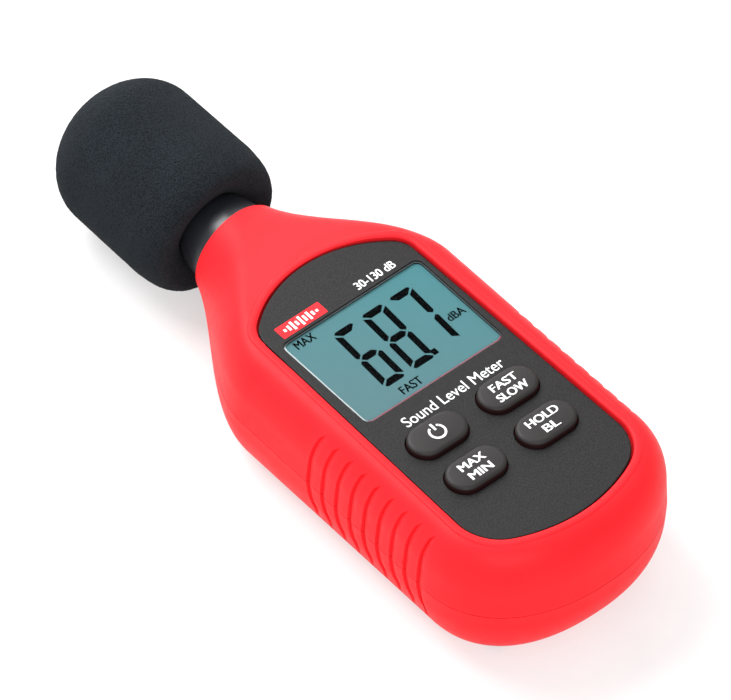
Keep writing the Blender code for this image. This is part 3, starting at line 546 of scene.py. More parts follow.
def stack(name, rings, look=None, sharp=38.0):
    """A closed solid through outlines with equal point counts; a ring's height is a number or f(y)."""
    count = len(rings[0][0])
    points = [(x, y, z(y) if callable(z) else z) for outline, z in rings for x, y in outline]
    faces = [list(range(count))[::-1]]
    for level in range(len(rings) - 1):
        low, high = level * count, (level + 1) * count
        for i in range(count):
            after = (i + 1) % count
            faces.append([low + i, low + after, high + after, high + i])
    faces.append(list(range((len(rings) - 1) * count, len(rings) * count)))
    return piece(name, points, faces, look, sharp)


def prism(name, outline, low, high, look=None):
    return stack(name, [(outline, low), (outline, high)], look)


def box(name, low, high, look=None):
    outline = [(low[0], low[1]), (high[0], low[1]), (high[0], high[1]), (low[0], high[1])]
    return prism(name, outline, low[2], high[2], look)


def slab(name, outline_at, low, high, round_top, round_low, look, steps=5):
    """A plate with rounded edges; outline_at(grow) gives its outline."""
    rings = []
    turns = [math.pi / 2 * i / steps for i in range(steps + 1)]
    for turn in turns:
        rings.append((outline_at(-round_low * (1 - math.sin(turn))), low + round_low * (1 - math.cos(turn))))
    for turn in turns:
        rings.append((outline_at(-round_top * (1 - math.cos(turn))), high - round_top * (1 - math.sin(turn))))
    return stack(name, rings, look)


def flared_hole(name, outline_at, low, high, flare):
    """A cutter that leaves a rounded edge where the hole meets the surface at high."""
    rings = [(outline_at(0.0), low)]
    for i in range(5):
        turn = math.pi / 2 * i / 4
        rings.append((outline_at(flare * (1 - math.cos(turn))), high - flare * (1 - math.sin(turn))))
    rings.append((outline_at(flare), high + 2.0))
    return stack(name, rings)


def turned(name, profile, look, axis='Y', base=(0.0, 0.0, 0.0), steps=64, sharp=38.0):
    """A solid turned about an axis from closed profile points (radius, distance along the axis)."""
    points = []
    for i in range(steps):
        angle = 2 * math.pi * i / steps
        for radius, along in profile:
            x, y = radius * math.cos(angle), radius * math.sin(angle)
            point = (x, y, along) if axis == 'Z' else (x, along, y)
            points.append(tuple(b + p for b, p in zip(base, point)))
    count = len(profile)
    faces = []
    for i in range(steps):
        here, there = i * count, ((i + 1) % steps) * count
        for j in range(count):
            after = (j + 1) % count
            if profile[j][0] == 0 and profile[after][0] == 0:
                continue
            corners = [here + j, here + after]
            if profile[after][0] > 0:
                corners.append(there + after)
            if profile[j][0] > 0:
                corners.append(there + j)
            faces.append(corners)
    return piece(name, points, faces, look, sharp)


# ----- the case's form

def shoulder_at(y, start=SHOULDER_Y):
    """0 on the straight sides to 1 at the collar, which cuts the S-curve short."""
    whole = smooth_step(COLLAR_END_Y, start, SHOULDER_END_Y)
    return min(smooth_step(y, start, SHOULDER_END_Y) / whole, 1.0)


def rim_height(y):
    return mix(RIM_Z, TUBE_Z + COLLAR_RADIUS, smooth_step(y, SLOPE_Y, COLLAR_END_Y))


def section(y):
    """Half-width, bottom, top, corner sizes and draft of the case's cross-section at y."""
    shoulder = shoulder_at(y)
    along = min(max((y - PIVOT_Y) / (SHOULDER_Y - PIVOT_Y), 0.0), 1.0)
    half = mix(mix(HALF_WIDTH, HALF_WIDTH_TOP, along), COLLAR_RADIUS, shoulder)
    bottom = (TUBE_Z - COLLAR_RADIUS) * shoulder_at(y, SHOULDER_Y + 3)
    upper = [mix(size, COLLAR_RADIUS, shoulder ** TOP_CORNER_POWER) for size in TOP_CORNER]
    lower = [mix(size, COLLAR_RADIUS, shoulder) for size in BOTTOM_CORNER]
    return half, bottom, rim_height(y), upper, lower, DRAFT * (1.0 - shoulder)


def foot_reach(angle):
    """Distance from the pivot to the case's outline round the foot."""
    across = abs(math.cos(angle)) / HALF_WIDTH
    down = abs(math.sin(angle)) / (PIVOT_Y - FOOT_Y)
    return (across ** FOOT_POWER + down ** FOOT_POWER) ** (-1 / FOOT_POWER)


def bow(y, z):
    """How far the grooves curve towards the foot at their upper and lower ends."""
    share = min(max((y - PIVOT_Y - BOW_FOOT_START) / BOW_FOOT_SPAN, 0.0), 1.0)
    share *= 1.0 - smooth_step(y, *BOW_HEAD_Y)
    if z > BOW_MIDDLE_Z:
        rise = min((z - BOW_MIDDLE_Z) / BOW_UP_SPAN, 1.0) ** BOW_UP_POWER
        return share * (-BOW_UP * rise - HOOK * smooth_step(z, *HOOK_Z))
    return -BOW_DOWN * share * min((BOW_MIDDLE_Z - z) / BOW_DOWN_SPAN, 1.0) ** BOW_DOWN_POWER


def groove_depth(y, z):
    """How far a grip groove cuts in, for a station at y before it is bowed."""
    for i in range(GROOVES):
        past = GROOVE_TOP_Y - i * GROOVE_PITCH - y
        if 0.0 <= past < GROOVE_RAMP:
            step = min(past / GROOVE_STEP, 1.0)
            ramp = (1.0 - past / GROOVE_RAMP) ** GROOVE_RAMP_POWER
            fade = (1.0 - smooth_step(z, *GROOVE_FADE_TOP_Z)) * smooth_step(z, *GROOVE_FADE_FOOT_Z)
            return GROOVE_DEPTH * step * ramp * fade
    return 0.0


def half_section(y, angle, inset, upper, detail):
    """One half of the case's cross-section, from the seam to the middle line, as (reach, z)."""
    half, bottom, top, top_corner, bottom_corner, draft = section(y)
    reach = (half if angle is None else foot_reach(angle)) - inset
    bottom += inset
    top = min(top - inset, INNER_TOP_Z) if inset else top
    wide, tall = [max(size - inset, 0.6) for size in (top_corner if upper else bottom_corner)]
    far_tall = max((bottom_corner if upper else top_corner)[1] - inset, 0.6)
    sign = 1 if upper else -1
    level = top if upper else bottom
    seam = SEAM_Z + sign * SEAM_LINE / 2
    edge = level - sign * tall
    far_edge = bottom + far_tall if upper else top - far_tall
    first_turn = math.asin(min(max(sign * (seam - edge) / tall, 0.0), 1.0))
    wall_steps, turn_steps, flat_steps = detail
    shoulder_reach = reach - draft * abs(edge - SEAM_Z)
    points = []
    for i in range(0 if first_turn else wall_steps):
        z = mix(seam, edge, i / wall_steps)
        past = max(sign * (far_edge - z), 0.0) / far_tall
        bend = reach * (1 - math.sqrt(1 - past * past))
        points.append((reach - bend - draft * abs(z - SEAM_Z), z))
    for i in range(turn_steps + 1):
        turn = mix(first_turn, math.pi / 2, i / turn_steps)
        points.append((shoulder_reach - wide * (1 - math.cos(turn)), edge + sign * tall * math.sin(turn)))
    points = [points[0]] * (wall_steps + turn_steps + 1 - len(points)) + points
    inner_reach = max(shoulder_reach - wide, 0.0)
    points += [(inner_reach * (1 - i / flat_steps), level) for i in range(1, flat_steps + 1)]
    return points


def lip_rounding(y):
    """How far the collar's mouth rounds in at y."""
    past = max(y - COLLAR_END_Y + LIP, 0.0)
    return LIP - math.sqrt(max(LIP ** 2 - past ** 2, 0.0))


def case_half(name, upper, inset, side_places, fan_steps, detail, look=None):
    """The solid upper or lower half of the case's outer form, or its hollow when inset."""
    places = [(y, None, 1) for y in sorted(side_places, reverse=True)]
    places += [(PIVOT_Y, math.pi * i / fan_steps, 0) for i in range(fan_steps + 1)]
    places += [(y, None, -1) for y in sorted(side_places)]
    rows = []
    for y, angle, side in places:
        here = inset(y) if inset else 0.0
        lip = 0.0 if inset else lip_rounding(y)
        row = []
        for number, (reach, z) in enumerate(half_section(y, angle, here, upper, detail)):
            reach *= 1 - lip / COLLAR_RADIUS
            if angle is not None:
                row.append((reach * math.cos(angle), PIVOT_Y - reach * math.sin(angle), z))
            elif inset:
                row.append((side * reach, y, z))
            else:
                bowed = y + bow(y, z)
                row.append((side * (reach - groove_depth(y, z)), bowed, z))
        if inset:
            x, along, z = row[0]
            row.insert(0, (x, along, z - 2.0 if upper else z + 2.0))
        else:
            x, along, z = row[0]
            if angle is None:
                inner = (x - side * SEAM_DEPTH, along)
            else:
                inner = (x - SEAM_DEPTH * math.cos(angle), along + SEAM_DEPTH * math.sin(angle))
            row.insert(0, (*inner, z))
            row.insert(0, (*inner, SEAM_Z + (SEAM_CLOSED if upper else -SEAM_CLOSED)))
        rows.append(row)
    count = len(rows[0])
    points = [point for row in rows for point in row]
    faces = []
    for i in range(len(rows) - 1):
        for j in range(count - 1):
            a, b = i * count + j, (i + 1) * count + j
            faces.append([a, a + 1, b + 1, b])
    last = (len(rows) - 1) * count
    faces.append([i * count for i in range(len(rows))])
    faces.append([last + j for j in range(count)] + [j for j in range(count - 1)][::-1])
    return piece(name, points, faces, look)


def outer_places():
    """Section places along the sides: fine at each groove, and a rounded collar end."""
    shoulder = [mix(SHOULDER_Y, COLLAR_END_Y - LIP, i / 56) for i in range(57)]
    grooves = [GROOVE_TOP_Y - i * GROOVE_PITCH + station
               for i in range(GROOVES) for station in GROOVE_STATIONS]
    upper = [mix(GROOVE_TOP_Y + 1.3, SHOULDER_Y, i / 12) for i in range(12)]
    lip = [COLLAR_END_Y - LIP + LIP * math.sin(math.pi / 2 * i / 6) for i in range(1, 7)]
    return grooves + upper + shoulder + lip


def inner_places():
    return [mix(SHOULDER_Y, COLLAR_END_Y - LIP, i / 24) for i in range(25)] + [COLLAR_END_Y + 1.0]


def wall_at(y):
    return mix(WALL, COLLAR_WALL, shoulder_at(y))


def button_places():
    return {name: ((2 * column - 1) * BUTTON_X, y)
            for row, y in zip(BUTTON_NAMES, BUTTON_ROWS_Y) for column, name in enumerate(row)}


# ----- pieces

def front_case():
    shell = case_half("case_front", True, None, outer_places(), FAN_STEPS, FRONT_DETAIL, "red")
    hollow = case_half("front_hollow", True, wall_at, inner_places(), HOLLOW_FAN_STEPS, HOLLOW_DETAIL)
    seat = panel_outline(GAP)
    recess = stack("recess", [(seat, SEAT_Z), (seat, lambda y: rim_height(y) + 4.0)])
    window = rounded_rectangle(*OPENING_SIZE, 1.0, (0, DISPLAY_Y))
    opening = prism("opening", window, INNER_TOP_Z - PAST, RIM_Z)
    holes = [prism(f"hole_{name}", stadium(BUTTON_CLEARANCE, centre), INNER_TOP_Z - PAST, RIM_Z)
             for name, centre in button_places().items()]
    combine(shell, [hollow, recess, opening, *holes])
    posts = [prism(f"post_{i}", circle(FRONT_POST_RADIUS, centre, 20), SEAM_Z + GAP,
                   INNER_TOP_Z + FRONT_POST_ROOT) for i, centre in enumerate(CASE_SCREWS)]
    combine(shell, [*posts, rim_bead()], 'UNION')
    return place(settle(shell), "case", "red_plastic", "front_shell")


def rim_bead():
    """A low bead round the panel: flat on top, its outer edge rolled down to the case."""
    outer = GAP + BEAD_WIDTH
    section_points = [(GAP, BEAD_ROOT)]
    section_points += [(GAP + across, BEAD_RISE - down) for across, down in BEAD_INNER_EDGE]
    for i in range(7):
        turn = math.pi / 2 * i / 6
        section_points.append((outer - 0.6 * (1 - math.sin(turn)), BEAD_RISE - 0.42 * (1 - math.cos(turn))))
    section_points.append((outer, BEAD_ROOT))
    rings = [[(x, y, rim_height(y) + up) for x, y in panel_outline(grow)] for grow, up in section_points]
    count, levels = len(rings[0]), len(rings)
    points = [point for ring in rings for point in ring]
    faces = [[level * count + i, level * count + (i + 1) % count,
              (level + 1) % levels * count + (i + 1) % count, (level + 1) % levels * count + i]
             for level in range(levels) for i in range(count)]
    return piece("rim_bead", points, faces, None)


def back_case():
    shell = case_half("case_back", False, None, outer_places(), FAN_STEPS, BACK_DETAIL, "red")
    hollow = case_half("back_hollow", False, wall_at, inner_places(), HOLLOW_FAN_STEPS, HOLLOW_DETAIL)
    combine(shell, [hollow])
    head_y = BAY_FOOT_Y + BAY_LENGTH
    wall = BAY_WALL
    seat_z = DOOR_THICKNESS + 2 * GAP + DOOR_SEAT_DEPTH
    added = [prism("door_seat", door_outline(DOOR_SEAT_MARGIN), 1.0, seat_z),
             box("bay_block", (-BAY_HALF_WIDTH - wall, BAY_FOOT_Y - wall, 1.5),
                 (BAY_HALF_WIDTH + wall, head_y + wall, BAY_ROOF_Z + wall)),
             prism("door_post", circle(BACK_POST_RADIUS, (0, DOOR_SCREW_Y)), 2.0, DOOR_POST_TOP_Z)]
    added += [prism(f"tube_{i}", circle(BACK_POST_RADIUS, centre), 2.1, SEAM_Z - GAP)
              for i, centre in enumerate(CASE_SCREWS)]
    combine(shell, added, 'UNION')
    shank = circle(SHANK_RADIUS + GAP, (0, DOOR_SCREW_Y))
    removed = [flared_door_recess(), prism("door_screw_hole", shank, 0.0, DOOR_POST_TOP_Z - 1.0),
               box("bay_hollow", (-BAY_HALF_WIDTH, BAY_FOOT_Y, -PAST), (BAY_HALF_WIDTH, head_y, BAY_ROOF_Z))]
    for i, centre in enumerate(CASE_SCREWS):
        removed.append(prism(f"head_hole_{i}", circle(CASE_HEAD_HOLE, centre, 40), -PAST, HEAD_SEAT_Z))
        removed.append(prism(f"shank_hole_{i}", circle(SHANK_RADIUS + GAP, centre), 0.0, SEAM_Z + PAST))
    combine(shell, removed)
    return place(settle(shell), "case", "red_plastic", "back_shell")


def flared_door_recess():
    """The door's recess, its edge slightly rounded where it meets the back."""
    edge = ((0.25, -2.0), (0.25, 0.0), (0.07, 0.08), (0.0, 0.25), (0.0, DOOR_THICKNESS + GAP))
    return stack("door_recess", [(door_outline(GAP + out), z) for out, z in edge])


def battery_door():
    door = slab("door_panel", door_outline, 0.0, DOOR_THICKNESS, 0.12, 0.3, "red")
    at = (0, DOOR_SCREW_Y)
    tools = [prism("head_hole", circle(DOOR_HEAD_HOLE, at, 48), -PAST, DOOR_THICKNESS - DOOR_HEAD_HEIGHT),
             prism("shank_hole", circle(SHANK_RADIUS + GAP, at), -PAST, DOOR_THICKNESS + PAST)]
    for i in range(FINGER_GROOVES):
        half = FINGER_REACH - FINGER_NARROWING * i
        grip = rounded_rectangle(2 * half, FINGER_WIDTH, 0.44, (0, FINGER_Y - FINGER_PITCH * i), steps=6)
        tools.append(prism(f"finger_groove_{i}", grip, -PAST, FINGER_DEPTH))
    combine(door, tools)
    return place(settle(door), "battery_door", "red_plastic", "battery_door")


def screw_piece(name, centre, head_radius, head_top, head_height, length, body, node):
    """A pan-head screw pointing up, with a cross recess in its head and a turned thread."""
    r = SHANK_RADIUS
    low = head_top - head_height
    tip = head_top + length
    profile = [(head_radius * share, low + up) for share, up in PAN_HEAD]
    profile += [(head_radius, head_top), (r * 0.8, head_top)]
    for i in range(int((length - 1.6) / THREAD_PITCH)):
        start = head_top + 0.3 + THREAD_PITCH * i
        profile += [(r * THREAD_ROOT, start), (r, start + THREAD_CREST)]
    profile += [(r * THREAD_ROOT, tip - 1.1), (0, tip)]
    screw = turned(name, profile, "metal", axis='Z', base=(centre[0], centre[1], 0.0), steps=32, sharp=25.0)
    reach = head_radius * CROSS_REACH
    combine(screw, [box("slot", (centre[0] - half_x, centre[1] - half_y, low - PAST),
                               (centre[0] + half_x, centre[1] + half_y, low + CROSS_DEPTH))
                    for half_x, half_y in ((reach, CROSS_HALF), (CROSS_HALF, reach))])
    return place(settle(screw, 25.0), body, "nickel", node)


def panel():
    plate = slab("panel_plate", lambda grow: panel_outline(grow - PANEL_INSET), PANEL_LOW_Z, PANEL_TOP_Z,
                 0.3, 0.05, "panel")
    tools = [flared_hole("window_hole", window_outline, PANEL_LOW_Z - PAST, PANEL_TOP_Z, 0.06)]
    for centre in button_places().values():
        tools.append(flared_hole("hole", lambda grow, at=centre: stadium(PANEL_HOLE_CLEARANCE + grow, at),
                                 PANEL_LOW_Z - PAST, PANEL_TOP_Z, 0.12))
    combine(plate, tools)
    return place(settle(plate), "case", "dark_panel", "front_panel")


def button(name, centre):
    """A cap with a retaining flange, a straight skirt and a rounded top edge."""
    rings = [(stadium(grow, centre), z) for grow, z in BUTTON_FLANGE]
    for i in range(11):
        turn = math.pi / 2 * i / 10
        rings.append((stadium(-BUTTON_EDGE * (1 - math.cos(turn)), centre),
                      BUTTON_TOP_Z - BUTTON_CROWN - BUTTON_EDGE * 0.8 * (1 - math.sin(turn))))
    for share in (0.35, 0.65, 1.0):
        rings.append((stadium(-BUTTON_EDGE - 2.4 * share, centre),
                      BUTTON_TOP_Z - BUTTON_CROWN * (1 - share) ** 2))
    cap = stack(f"cap_{name}", rings, "button", sharp=30.0)
    return place(cap, f"button_{name}", "button_plastic", f"button_{name}")


def lettering(name, words, cap_height, centre, z, width, body, look, bold, sunk=0.0):
    """Thin printed letters, centred on a place and scaled to a cap height and a width.

    bold thickens the strokes by repeating them to either side, each copy a little higher than the
    last; sunk lets them reach into a curved face.
    """
    font = bpy.data.curves.new(name, 'FONT')
    font.body = words
    font.size = 1.0
    font.extrude = 0.01
    font.resolution_u = 6
    source = bpy.data.objects.new(name + "_source", font)
    bpy.context.collection.objects.link(source)
    bpy.context.view_layer.update()
    graph = bpy.context.evaluated_depsgraph_get()
    letters = bpy.data.meshes.new_from_object(source.evaluated_get(graph))
    bpy.data.objects.remove(source, do_unlink=True)
    places = np.array([v.co for v in letters.vertices])
    low, high = places.min(0), places.max(0)
    places[:, 0] = (places[:, 0] - (low[0] + high[0]) / 2) * width / (high[0] - low[0]) + centre[0]
    places[:, 1] = (places[:, 1] / FONT_CAP_HEIGHT - 0.5) * cap_height + centre[1]
    places[:, 2] = z + np.where(places[:, 2] > 0, INK_HEIGHT, -sunk)
    built = bmesh.new()
    for shift, lift in ((-bold, 1), (0.0, 2), (bold, 0)):
        letters.vertices.foreach_set("co", ((places + (shift, 0.0, lift * INK_STEP)) * MM).ravel())
        built.from_mesh(letters)
    mesh = bpy.data.meshes.new(name)
    built.to_mesh(mesh)
    built.free()
    made = bpy.data.objects.new(name, mesh)
    bpy.context.collection.objects.link(made)
    mesh.materials.append(LOOKS[look].material)
    return place(made, body, "white_plastic" if look == "print" else "lcd_teal")


def power_symbol(centre):
    """An open ring with a short upright stroke."""
    x, y = centre
    outer, inner = [arc(centre, radius, *POWER_OPENING, 40) for radius in POWER_RING]
    ring = [[outer[i], outer[i + 1], inner[i + 1], inner[i]] for i in range(40)]
    stroke = [(x + across, y + up) for across, up in POWER_STROKE]
    return flat_shapes("legend_power", [*ring, stroke], BUTTON_TOP_Z - INK_SUNK, INK_SUNK + INK_HEIGHT,
                       "print", "button_power", "white_plastic")


def flat_shapes(name, outlines, z, height, look, body, slot):
    """Thin raised shapes from plan outlines, as one piece."""
    points, faces = [], []
    for outline in outlines:
        start, count = len(points), len(outline)
        points += [(x, y, z) for x, y in outline] + [(x, y, z + height) for x, y in outline]
        faces.append([start + i for i in range(count)][::-1])
        faces.append([start + count + i for i in range(count)])
        faces += [[start + i, start + (i + 1) % count, start + (i + 1) % count + count, start + i + count]
                  for i in range(count)]
    return place(piece(name, points, faces, look), body, slot)


def digit(character, left, width):
    """A seven-segment digit's outlines, leaning a little, with pointed, slightly separated segments."""
    h, w, t, th = DIGIT_HEIGHT, width, STROKE_ACROSS, STROKE_DOWN
    m = h / 2
    upper_right = [(w, h - 0.9), (w, m + 0.75), (w - 0.55, m + 0.22), (w - t, m + th / 2 + 0.1),
                   (w - t, h - th - 0.1)]
    top = [(0.75, h), (w - 0.75, h), (w - 0.28, h - 0.5), (w - t - 0.12, h - th), (t + 0.12, h - th),
           (0.28, h - 0.5)]
    middle = [(0.75, m), (t + 0.12, m + th / 2), (w - t - 0.12, m + th / 2), (w - 0.75, m),
              (w - t - 0.12, m - th / 2), (t + 0.12, m - th / 2)]
    shapes = {"b": upper_right, "f": [(w - x, y) for x, y in upper_right],
              "c": [(x, h - y) for x, y in upper_right], "e": [(w - x, h - y) for x, y in upper_right],
              "a": top, "d": [(x, h - y) for x, y in top], "g": middle}
    outlines = []
    for segment in SEGMENTS[character]:
        shape = shapes[segment]
        middle_x = sum(x for x, _ in shape) / len(shape)
        middle_y = sum(y for _, y in shape) / len(shape)
        shrunk = []
        for x, y in shape:
            span = max(abs(x - middle_x), abs(y - middle_y), 1.0)
            shrink = 1 - STROKE_GAP / 2 / span
            high = middle_y + (y - middle_y) * shrink
            shrunk.append((left + middle_x + (x - middle_x) * shrink + DIGIT_LEAN * high,
                           DIGITS_LOW_Y + high))
        outlines.append(shrunk)
    return outlines


def display():
    """The display's module, its segments and words, and the clear lens over it."""
    module = stack("display_module", [
        (rounded_rectangle(*LCD_SIZE, 0.4, (0, DISPLAY_Y)), LCD_LOW_Z),
        (rounded_rectangle(*LCD_SIZE, 0.4, (0, DISPLAY_Y)), LCD_TOP_Z),
        (window_outline(-0.35), LCD_TOP_Z), (window_outline(-0.35), FACE_Z)], "lcd")
    place(module, "case", "lcd_teal", "lcd_glass")
    z = FACE_Z + 0.01
    outlines = digit("6", -8.6, 5.7) + digit("8", -1.1, 6.0) + digit("7", 6.2, 5.9)
    outlines.append(rounded_rectangle(1.3, 1.5, 0.15, (5.35, DIGITS_LOW_Y + 1.1), 3))
    flat_shapes("display_digits", outlines, z, 0.03, "ink", "case", "lcd_teal")
    for name, words, height, x, y, width in DISPLAY_WORDS:
        lettering(f"display_{name}", words, height, (x, DISPLAY_Y + y), z, width, "case", "ink", 0.06)
    rings = [(window_outline(-0.12), FACE_Z + 0.08), (window_outline(-0.06), FACE_Z + 0.14),
             (window_outline(-0.06), LENS_TOP_Z - 0.14), (window_outline(-0.42), LENS_TOP_Z)]
    lens = stack("display_lens", rings, "clear", sharp=20.0)
    lens.data.materials.append(LOOKS["bevel"].material)
    for face in lens.data.polygons:
        if abs(face.normal.z) < 0.99:
            face.material_index = 1
    place(lens, "case", "clear_window", "display_window")


def wave_badge():
    """A plain red label with the bars of a sound wave, above the display's left end."""
    x, y = BADGE_CENTRE
    label = rounded_rectangle(*BADGE_SIZE, 0.25, (x, y), 4)
    flat_shapes("wave_label", [label], PANEL_TOP_Z, INK_HEIGHT, "red", "case", "red_plastic")
    bars = [[(x + at - 0.28, y - half), (x + at + 0.28, y - half), (x + at + 0.28, y + half),
             (x + at - 0.28, y + half)] for at, half in zip(np.arange(-4.2, 4.3, 1.05), BADGE_BARS)]
    flat_shapes("wave_bars", bars, PANEL_TOP_Z + INK_HEIGHT, INK_HEIGHT, "print", "case", "white_plastic")


def neck():
    base = (0.0, 0.0, TUBE_Z)
    profile = [(TUBE_BORE, 25.4), (9.0, 25.4), (9.0, 33.0), (9.3, 33.6), (NECK_RADIUS, NECK_DOME_Y)]
    for i in range(1, 21):
        turn = math.pi / 2 * i / 20
        profile.append((TUBE_RADIUS + (NECK_RADIUS - TUBE_RADIUS) * math.cos(turn) ** 0.9,
                        NECK_DOME_Y + NECK_DOME_LENGTH * math.sin(turn)))
    profile += [(TUBE_RADIUS, TUBE_END_Y - 0.4), (TUBE_RADIUS - 0.15, TUBE_END_Y - 0.1),
                (TUBE_RADIUS - 0.4, TUBE_END_Y), (TUBE_BORE, TUBE_END_Y)]
    tube = turned("microphone_tube", profile, "gloss", base=base, steps=96)
    place(tube, "case", "gloss_black", "microphone_neck")
    low = GRILLE_LOW_Y
    cap = [(0, low), (TUBE_RADIUS, low), (TUBE_RADIUS, low + 0.8), (TUBE_RADIUS - 0.25, low + 1.1),
           (TUBE_RADIUS - 0.6, low + 1.2), (0, low + 1.2)]
    grille = turned("microphone_cap", cap, "gloss", base=base, steps=64)
    holes = []
    for count, radius in SOUND_HOLES:
        for i in range(count):
            angle = 2 * math.pi * i / count + 0.1
            at = (radius * math.cos(angle), 0.0, TUBE_Z + radius * math.sin(angle))
            hole = [(0, low - PAST), (SOUND_HOLE_RADIUS, low - PAST), (SOUND_HOLE_RADIUS, low + 2 * PAST),
                    (0, low + 2 * PAST)]
            holes.append(turned("sound_hole", hole, None, base=at, steps=16))
    combine(grille, holes)
    place(settle(grille), "case", "gloss_black", "microphone_grille")


def windscreen():
    """The foam ball over the microphone, its skin roughened by pores and soft hollows."""
    dome = FOAM_RADIUS - FOAM_TAPER
    profile = [(0, FOAM_END_Y), *[(FOAM_BORE, y) for y in (FOAM_END_Y, 60.0, 52.0, 45.1)], *FOAM_MOUTH]
    profile += [(mix(FOAM_RADIUS, dome, i / 22), mix(47.2, FOAM_DOME_Y, i / 22)) for i in range(23)]
    for i in range(1, 23):
        turn = math.pi / 2 * i / 22
        profile.append((0 if i == 22 else dome * math.cos(turn),
                        FOAM_DOME_Y + (TIP_Y - FOAM_DOME_Y) * math.sin(turn)))
    foam = turned("windscreen_foam", profile, "foam", base=(0, 0, TUBE_Z), steps=128, sharp=60.0)
    step = foam.modifiers.new("finer", 'SUBSURF')
    step.subdivision_type = 'SIMPLE'
    step.levels = step.render_levels = 1
    apply_modifiers(foam)
    count = len(foam.data.vertices)
    places, normals = np.empty((count, 3)), np.empty((count, 3))
    foam.data.vertices.foreach_get("co", places.ravel())
    foam.data.vertices.foreach_get("normal", normals.ravel())
    pores = np.random.default_rng(PORE_SEED).random(count)
    from_axis = np.hypot(places[:, 0], places[:, 2] - TUBE_Z * MM) / MM
    skin = np.clip((from_axis - FOAM_BARE_RADIUS) / FOAM_FADE, 0.0, 1.0) + (places[:, 1] > FOAM_TIP_Y * MM)
    depth = (PORE_LEAST + PORE_MOST * pores ** 2) * MM * np.clip(skin, 0.0, 1.0)
    places -= normals * depth[:, None]
    foam.data.vertices.foreach_set("co", places.ravel())
    foam.data.update()
    shade(foam, 75.0)
    place(foam, "windscreen", "foam", "windscreen")


def spring(name, x, start_y, end_y, node):
    """A conical contact spring with a closed wide end."""
    sign = 1 if end_y > start_y else -1
    start_y, end_y = start_y + sign * SPRING_WIRE, end_y - sign * SPRING_WIRE
    curve = bpy.data.curves.new(name, 'CURVE')
    curve.dimensions = '3D'
    curve.bevel_depth = SPRING_WIRE * MM
    curve.bevel_resolution = 3
    curve.use_fill_caps = True
    spline = curve.splines.new('POLY')
    total = int(SPRING_TURNS * 28)
    spline.points.add(total)
    for i, knot in enumerate(spline.points):
        t = i / total
        radius = mix(*SPRING_RADII, t)
        turn = 2 * math.pi * SPRING_TURNS * t
        along = max((t - 0.2) / 0.8, 0.0)
        knot.co = ((x + radius * math.cos(turn)) * MM, mix(start_y, end_y, along) * MM,
                   (CELL_Z + radius * math.sin(turn)) * MM, 1.0)
    made = bpy.data.objects.new(name, curve)
    curve.materials.append(LOOKS["metal"].material)
    bpy.context.collection.objects.link(made)
    return place(made, "case", "nickel", node)


def battery_cells():
    """Three cells side by side with crimped ends, and their springs."""
    foot, head = BAY_FOOT_Y, BAY_FOOT_Y + BAY_LENGTH
    reach = GAP + CONTACT_THICKNESS + GAP
    for i, x in enumerate((-CELL_PITCH, 0.0, CELL_PITCH)):
        sign = -1 if i == 1 else 1
        plus = head - reach if sign == 1 else foot + reach
        shoulder = plus - sign * 0.8
        tail = shoulder - sign * CELL_LENGTH
        r = CELL_RADIUS
        profile = [(0, plus), (1.7, plus), (1.9, plus - sign * 0.15), (1.9, shoulder)]
        profile += [(r - back, shoulder - sign * down) for back, down in CELL_SHOULDER]
        profile += [(r - back, tail + sign * up) for back, up in CELL_TAIL]
        profile.append((0, tail + sign * 0.12))
        cell = turned(f"cell_{i + 1}", profile, "cell", base=(x, 0, CELL_Z), steps=64)
        cell.data.materials.append(LOOKS["metal"].material)
        for face in cell.data.polygons:
            y = face.center.y / MM
            bare = (y - shoulder) * sign > -0.1 or (y - tail) * sign < 0.2
            face.material_index = 1 if bare else 0
        place(cell, "case", "cell_sleeve", f"battery_cell_{i + 1}")
        minus = foot + reach if sign == 1 else head - reach
        spring(f"spring_{i + 1}", x, minus, tail - sign * GAP, f"battery_spring_{i + 1}")


CARRIED_LOOKS = {
    "white": ("lcd_backlight", "lcd_frame", "plunger_power", "plunger_fast_slow", "plunger_max_min",
              "plunger_hold_light"),
    "black": ("switch_power", "switch_fast_slow", "switch_max_min", "switch_hold_light"),
    "rubber": ("zebra_strip", "capsule_gasket"), "board": ("main_board",),
    "chip": ("main_chip", "amplifier_chip"), "sleeve": ("capacitor_1", "capacitor_2"),
    "red_lead": ("microphone_lead_1", "battery_lead_1"),
    "black_lead": ("microphone_lead_2", "battery_lead_2"),
    "metal": ("crystal", "microphone_capsule", "contact_plus", "contact_minus", "contact_link_head",
              "contact_link_foot", "board_screw_1", "board_screw_2"),
}


def carried_nodes():
    """Better finishes for the CAD nodes that stay."""
    for look, nodes in CARRIED_LOOKS.items():
        for node in nodes:
            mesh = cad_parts[node].data
            mesh.materials.clear()
            mesh.materials.append(LOOKS[look].material)


# ----- stage

FLOOR_RADIUS, FLOOR_THICKNESS, FLOOR_DROP = 2500.0, 6.0, 0.02


def camera():
    """The long view from the front left that shows the display, the left side and the foot."""
    data = bpy.data.cameras.new("camera")
    seen = bpy.data.objects.new("camera", data)
    bpy.context.collection.objects.link(seen)
    right = Vector((0.754602, -0.655575, 0.028225))
    up = Vector((0.484187, 0.585326, 0.650351))
    back = Vector((-0.442875, -0.47709, 0.759109))
    matrix = Matrix((right, up, back)).transposed().to_4x4()
    matrix.translation = Vector((-2.772594, -2.992612, 4.773823))
    seen.matrix_world = matrix
    data.sensor_width = 36.0
    data.lens = 1533.04
    data.clip_end = 40.0
    bpy.context.scene.camera = seen


def area(name, at, target, size, power):
    data = bpy.data.lights.new(name, 'AREA')
    data.shape = 'RECTANGLE'
    data.size, data.size_y = size
    data.energy = power
    made = bpy.data.objects.new(name, data)
    made.location = at
    made.rotation_euler = (Vector(target) - Vector(at)).to_track_quat('-Z', 'Y').to_euler()
    bpy.context.collection.objects.link(made)


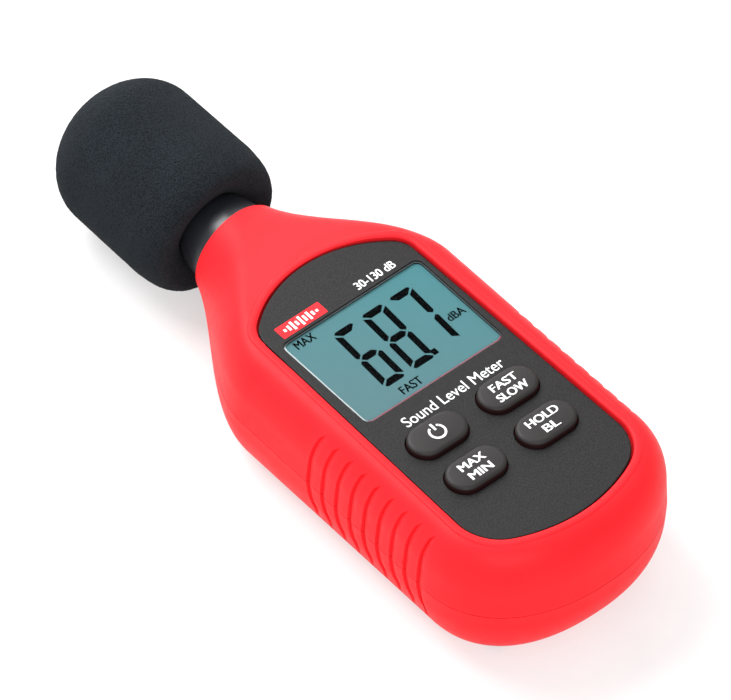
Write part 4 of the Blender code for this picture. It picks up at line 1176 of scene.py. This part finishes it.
def stage():
    """A pale floor, a white surround and three soft lights."""
    floor = prism("floor", circle(FLOOR_RADIUS, (0, 0), 96), -FLOOR_THICKNESS, -FLOOR_DROP)
    paper = moulded("floor_paper", (0.34, 0.34, 0.34), (0.36, 0.36, 0.36), 0.75, 0.9, grain=400.0, depth=0.01)
    paper.shader.inputs["Emission Color"].default_value = (1.0, 1.0, 1.0, 1.0)
    paper.shader.inputs["Emission Strength"].default_value = 0.55
    floor.data.materials.append(paper.material)
    world = bpy.data.worlds.new("studio")
    bpy.context.scene.world = world
    world.use_nodes = True
    background = world.node_tree.nodes["Background"]
    background.inputs["Color"].default_value = (1.0, 1.0, 1.0, 1.0)
    background.inputs["Strength"].default_value = 0.8
    area("key", (-0.06, 0.34, 0.46), (-0.01, -0.01, 0.02), (0.36, 0.36), 4.6)
    area("fill", (-0.42, -0.76, 0.66), (0, -0.05, 0.02), (0.45, 0.45), 5.6)
    area("back", (0.45, 0.75, 0.45), (0, 0, 0.02), (0.7, 0.5), 3.0)
    bpy.context.scene.view_settings.view_transform = 'Standard'


camera()
stage()
front_case()
back_case()
battery_door()
screw_piece("door_screw", (0, DOOR_SCREW_Y), DOOR_HEAD_RADIUS, DOOR_THICKNESS - 1.0, DOOR_HEAD_HEIGHT, 7.6,
            "battery_door_screw", "battery_door_screw")
for number, centre in enumerate(CASE_SCREWS, 1):
    screw_piece(f"back_screw_{number}", centre, CASE_HEAD_RADIUS, HEAD_SEAT_Z - GAP, 1.5, 12.0,
                "case", f"case_screw_{number}")
panel()
display()
for name, centre in button_places().items():
    button(name, centre)
for name, words, side, width in LEGENDS:
    x, y = button_places()[name]
    lettering(f"legend_{words.lower()}", words, LEGEND_HEIGHT, (x, y + side * LEGEND_RISE), BUTTON_TOP_Z,
              width, f"button_{name}", "print", 0.09, INK_SUNK)
power_symbol(button_places()["power"])
lettering("panel_title", "Sound Level Meter", 2.8, (0.7, -31.2), PANEL_TOP_Z, 26.0, "case", "print", 0.02)
lettering("panel_range", "30-130 dB", 2.1, (9.0, 2.2), PANEL_TOP_Z, 10.0, "case", "print", 0.05)
wave_badge()
neck()
windscreen()
battery_cells()
carried_nodes()
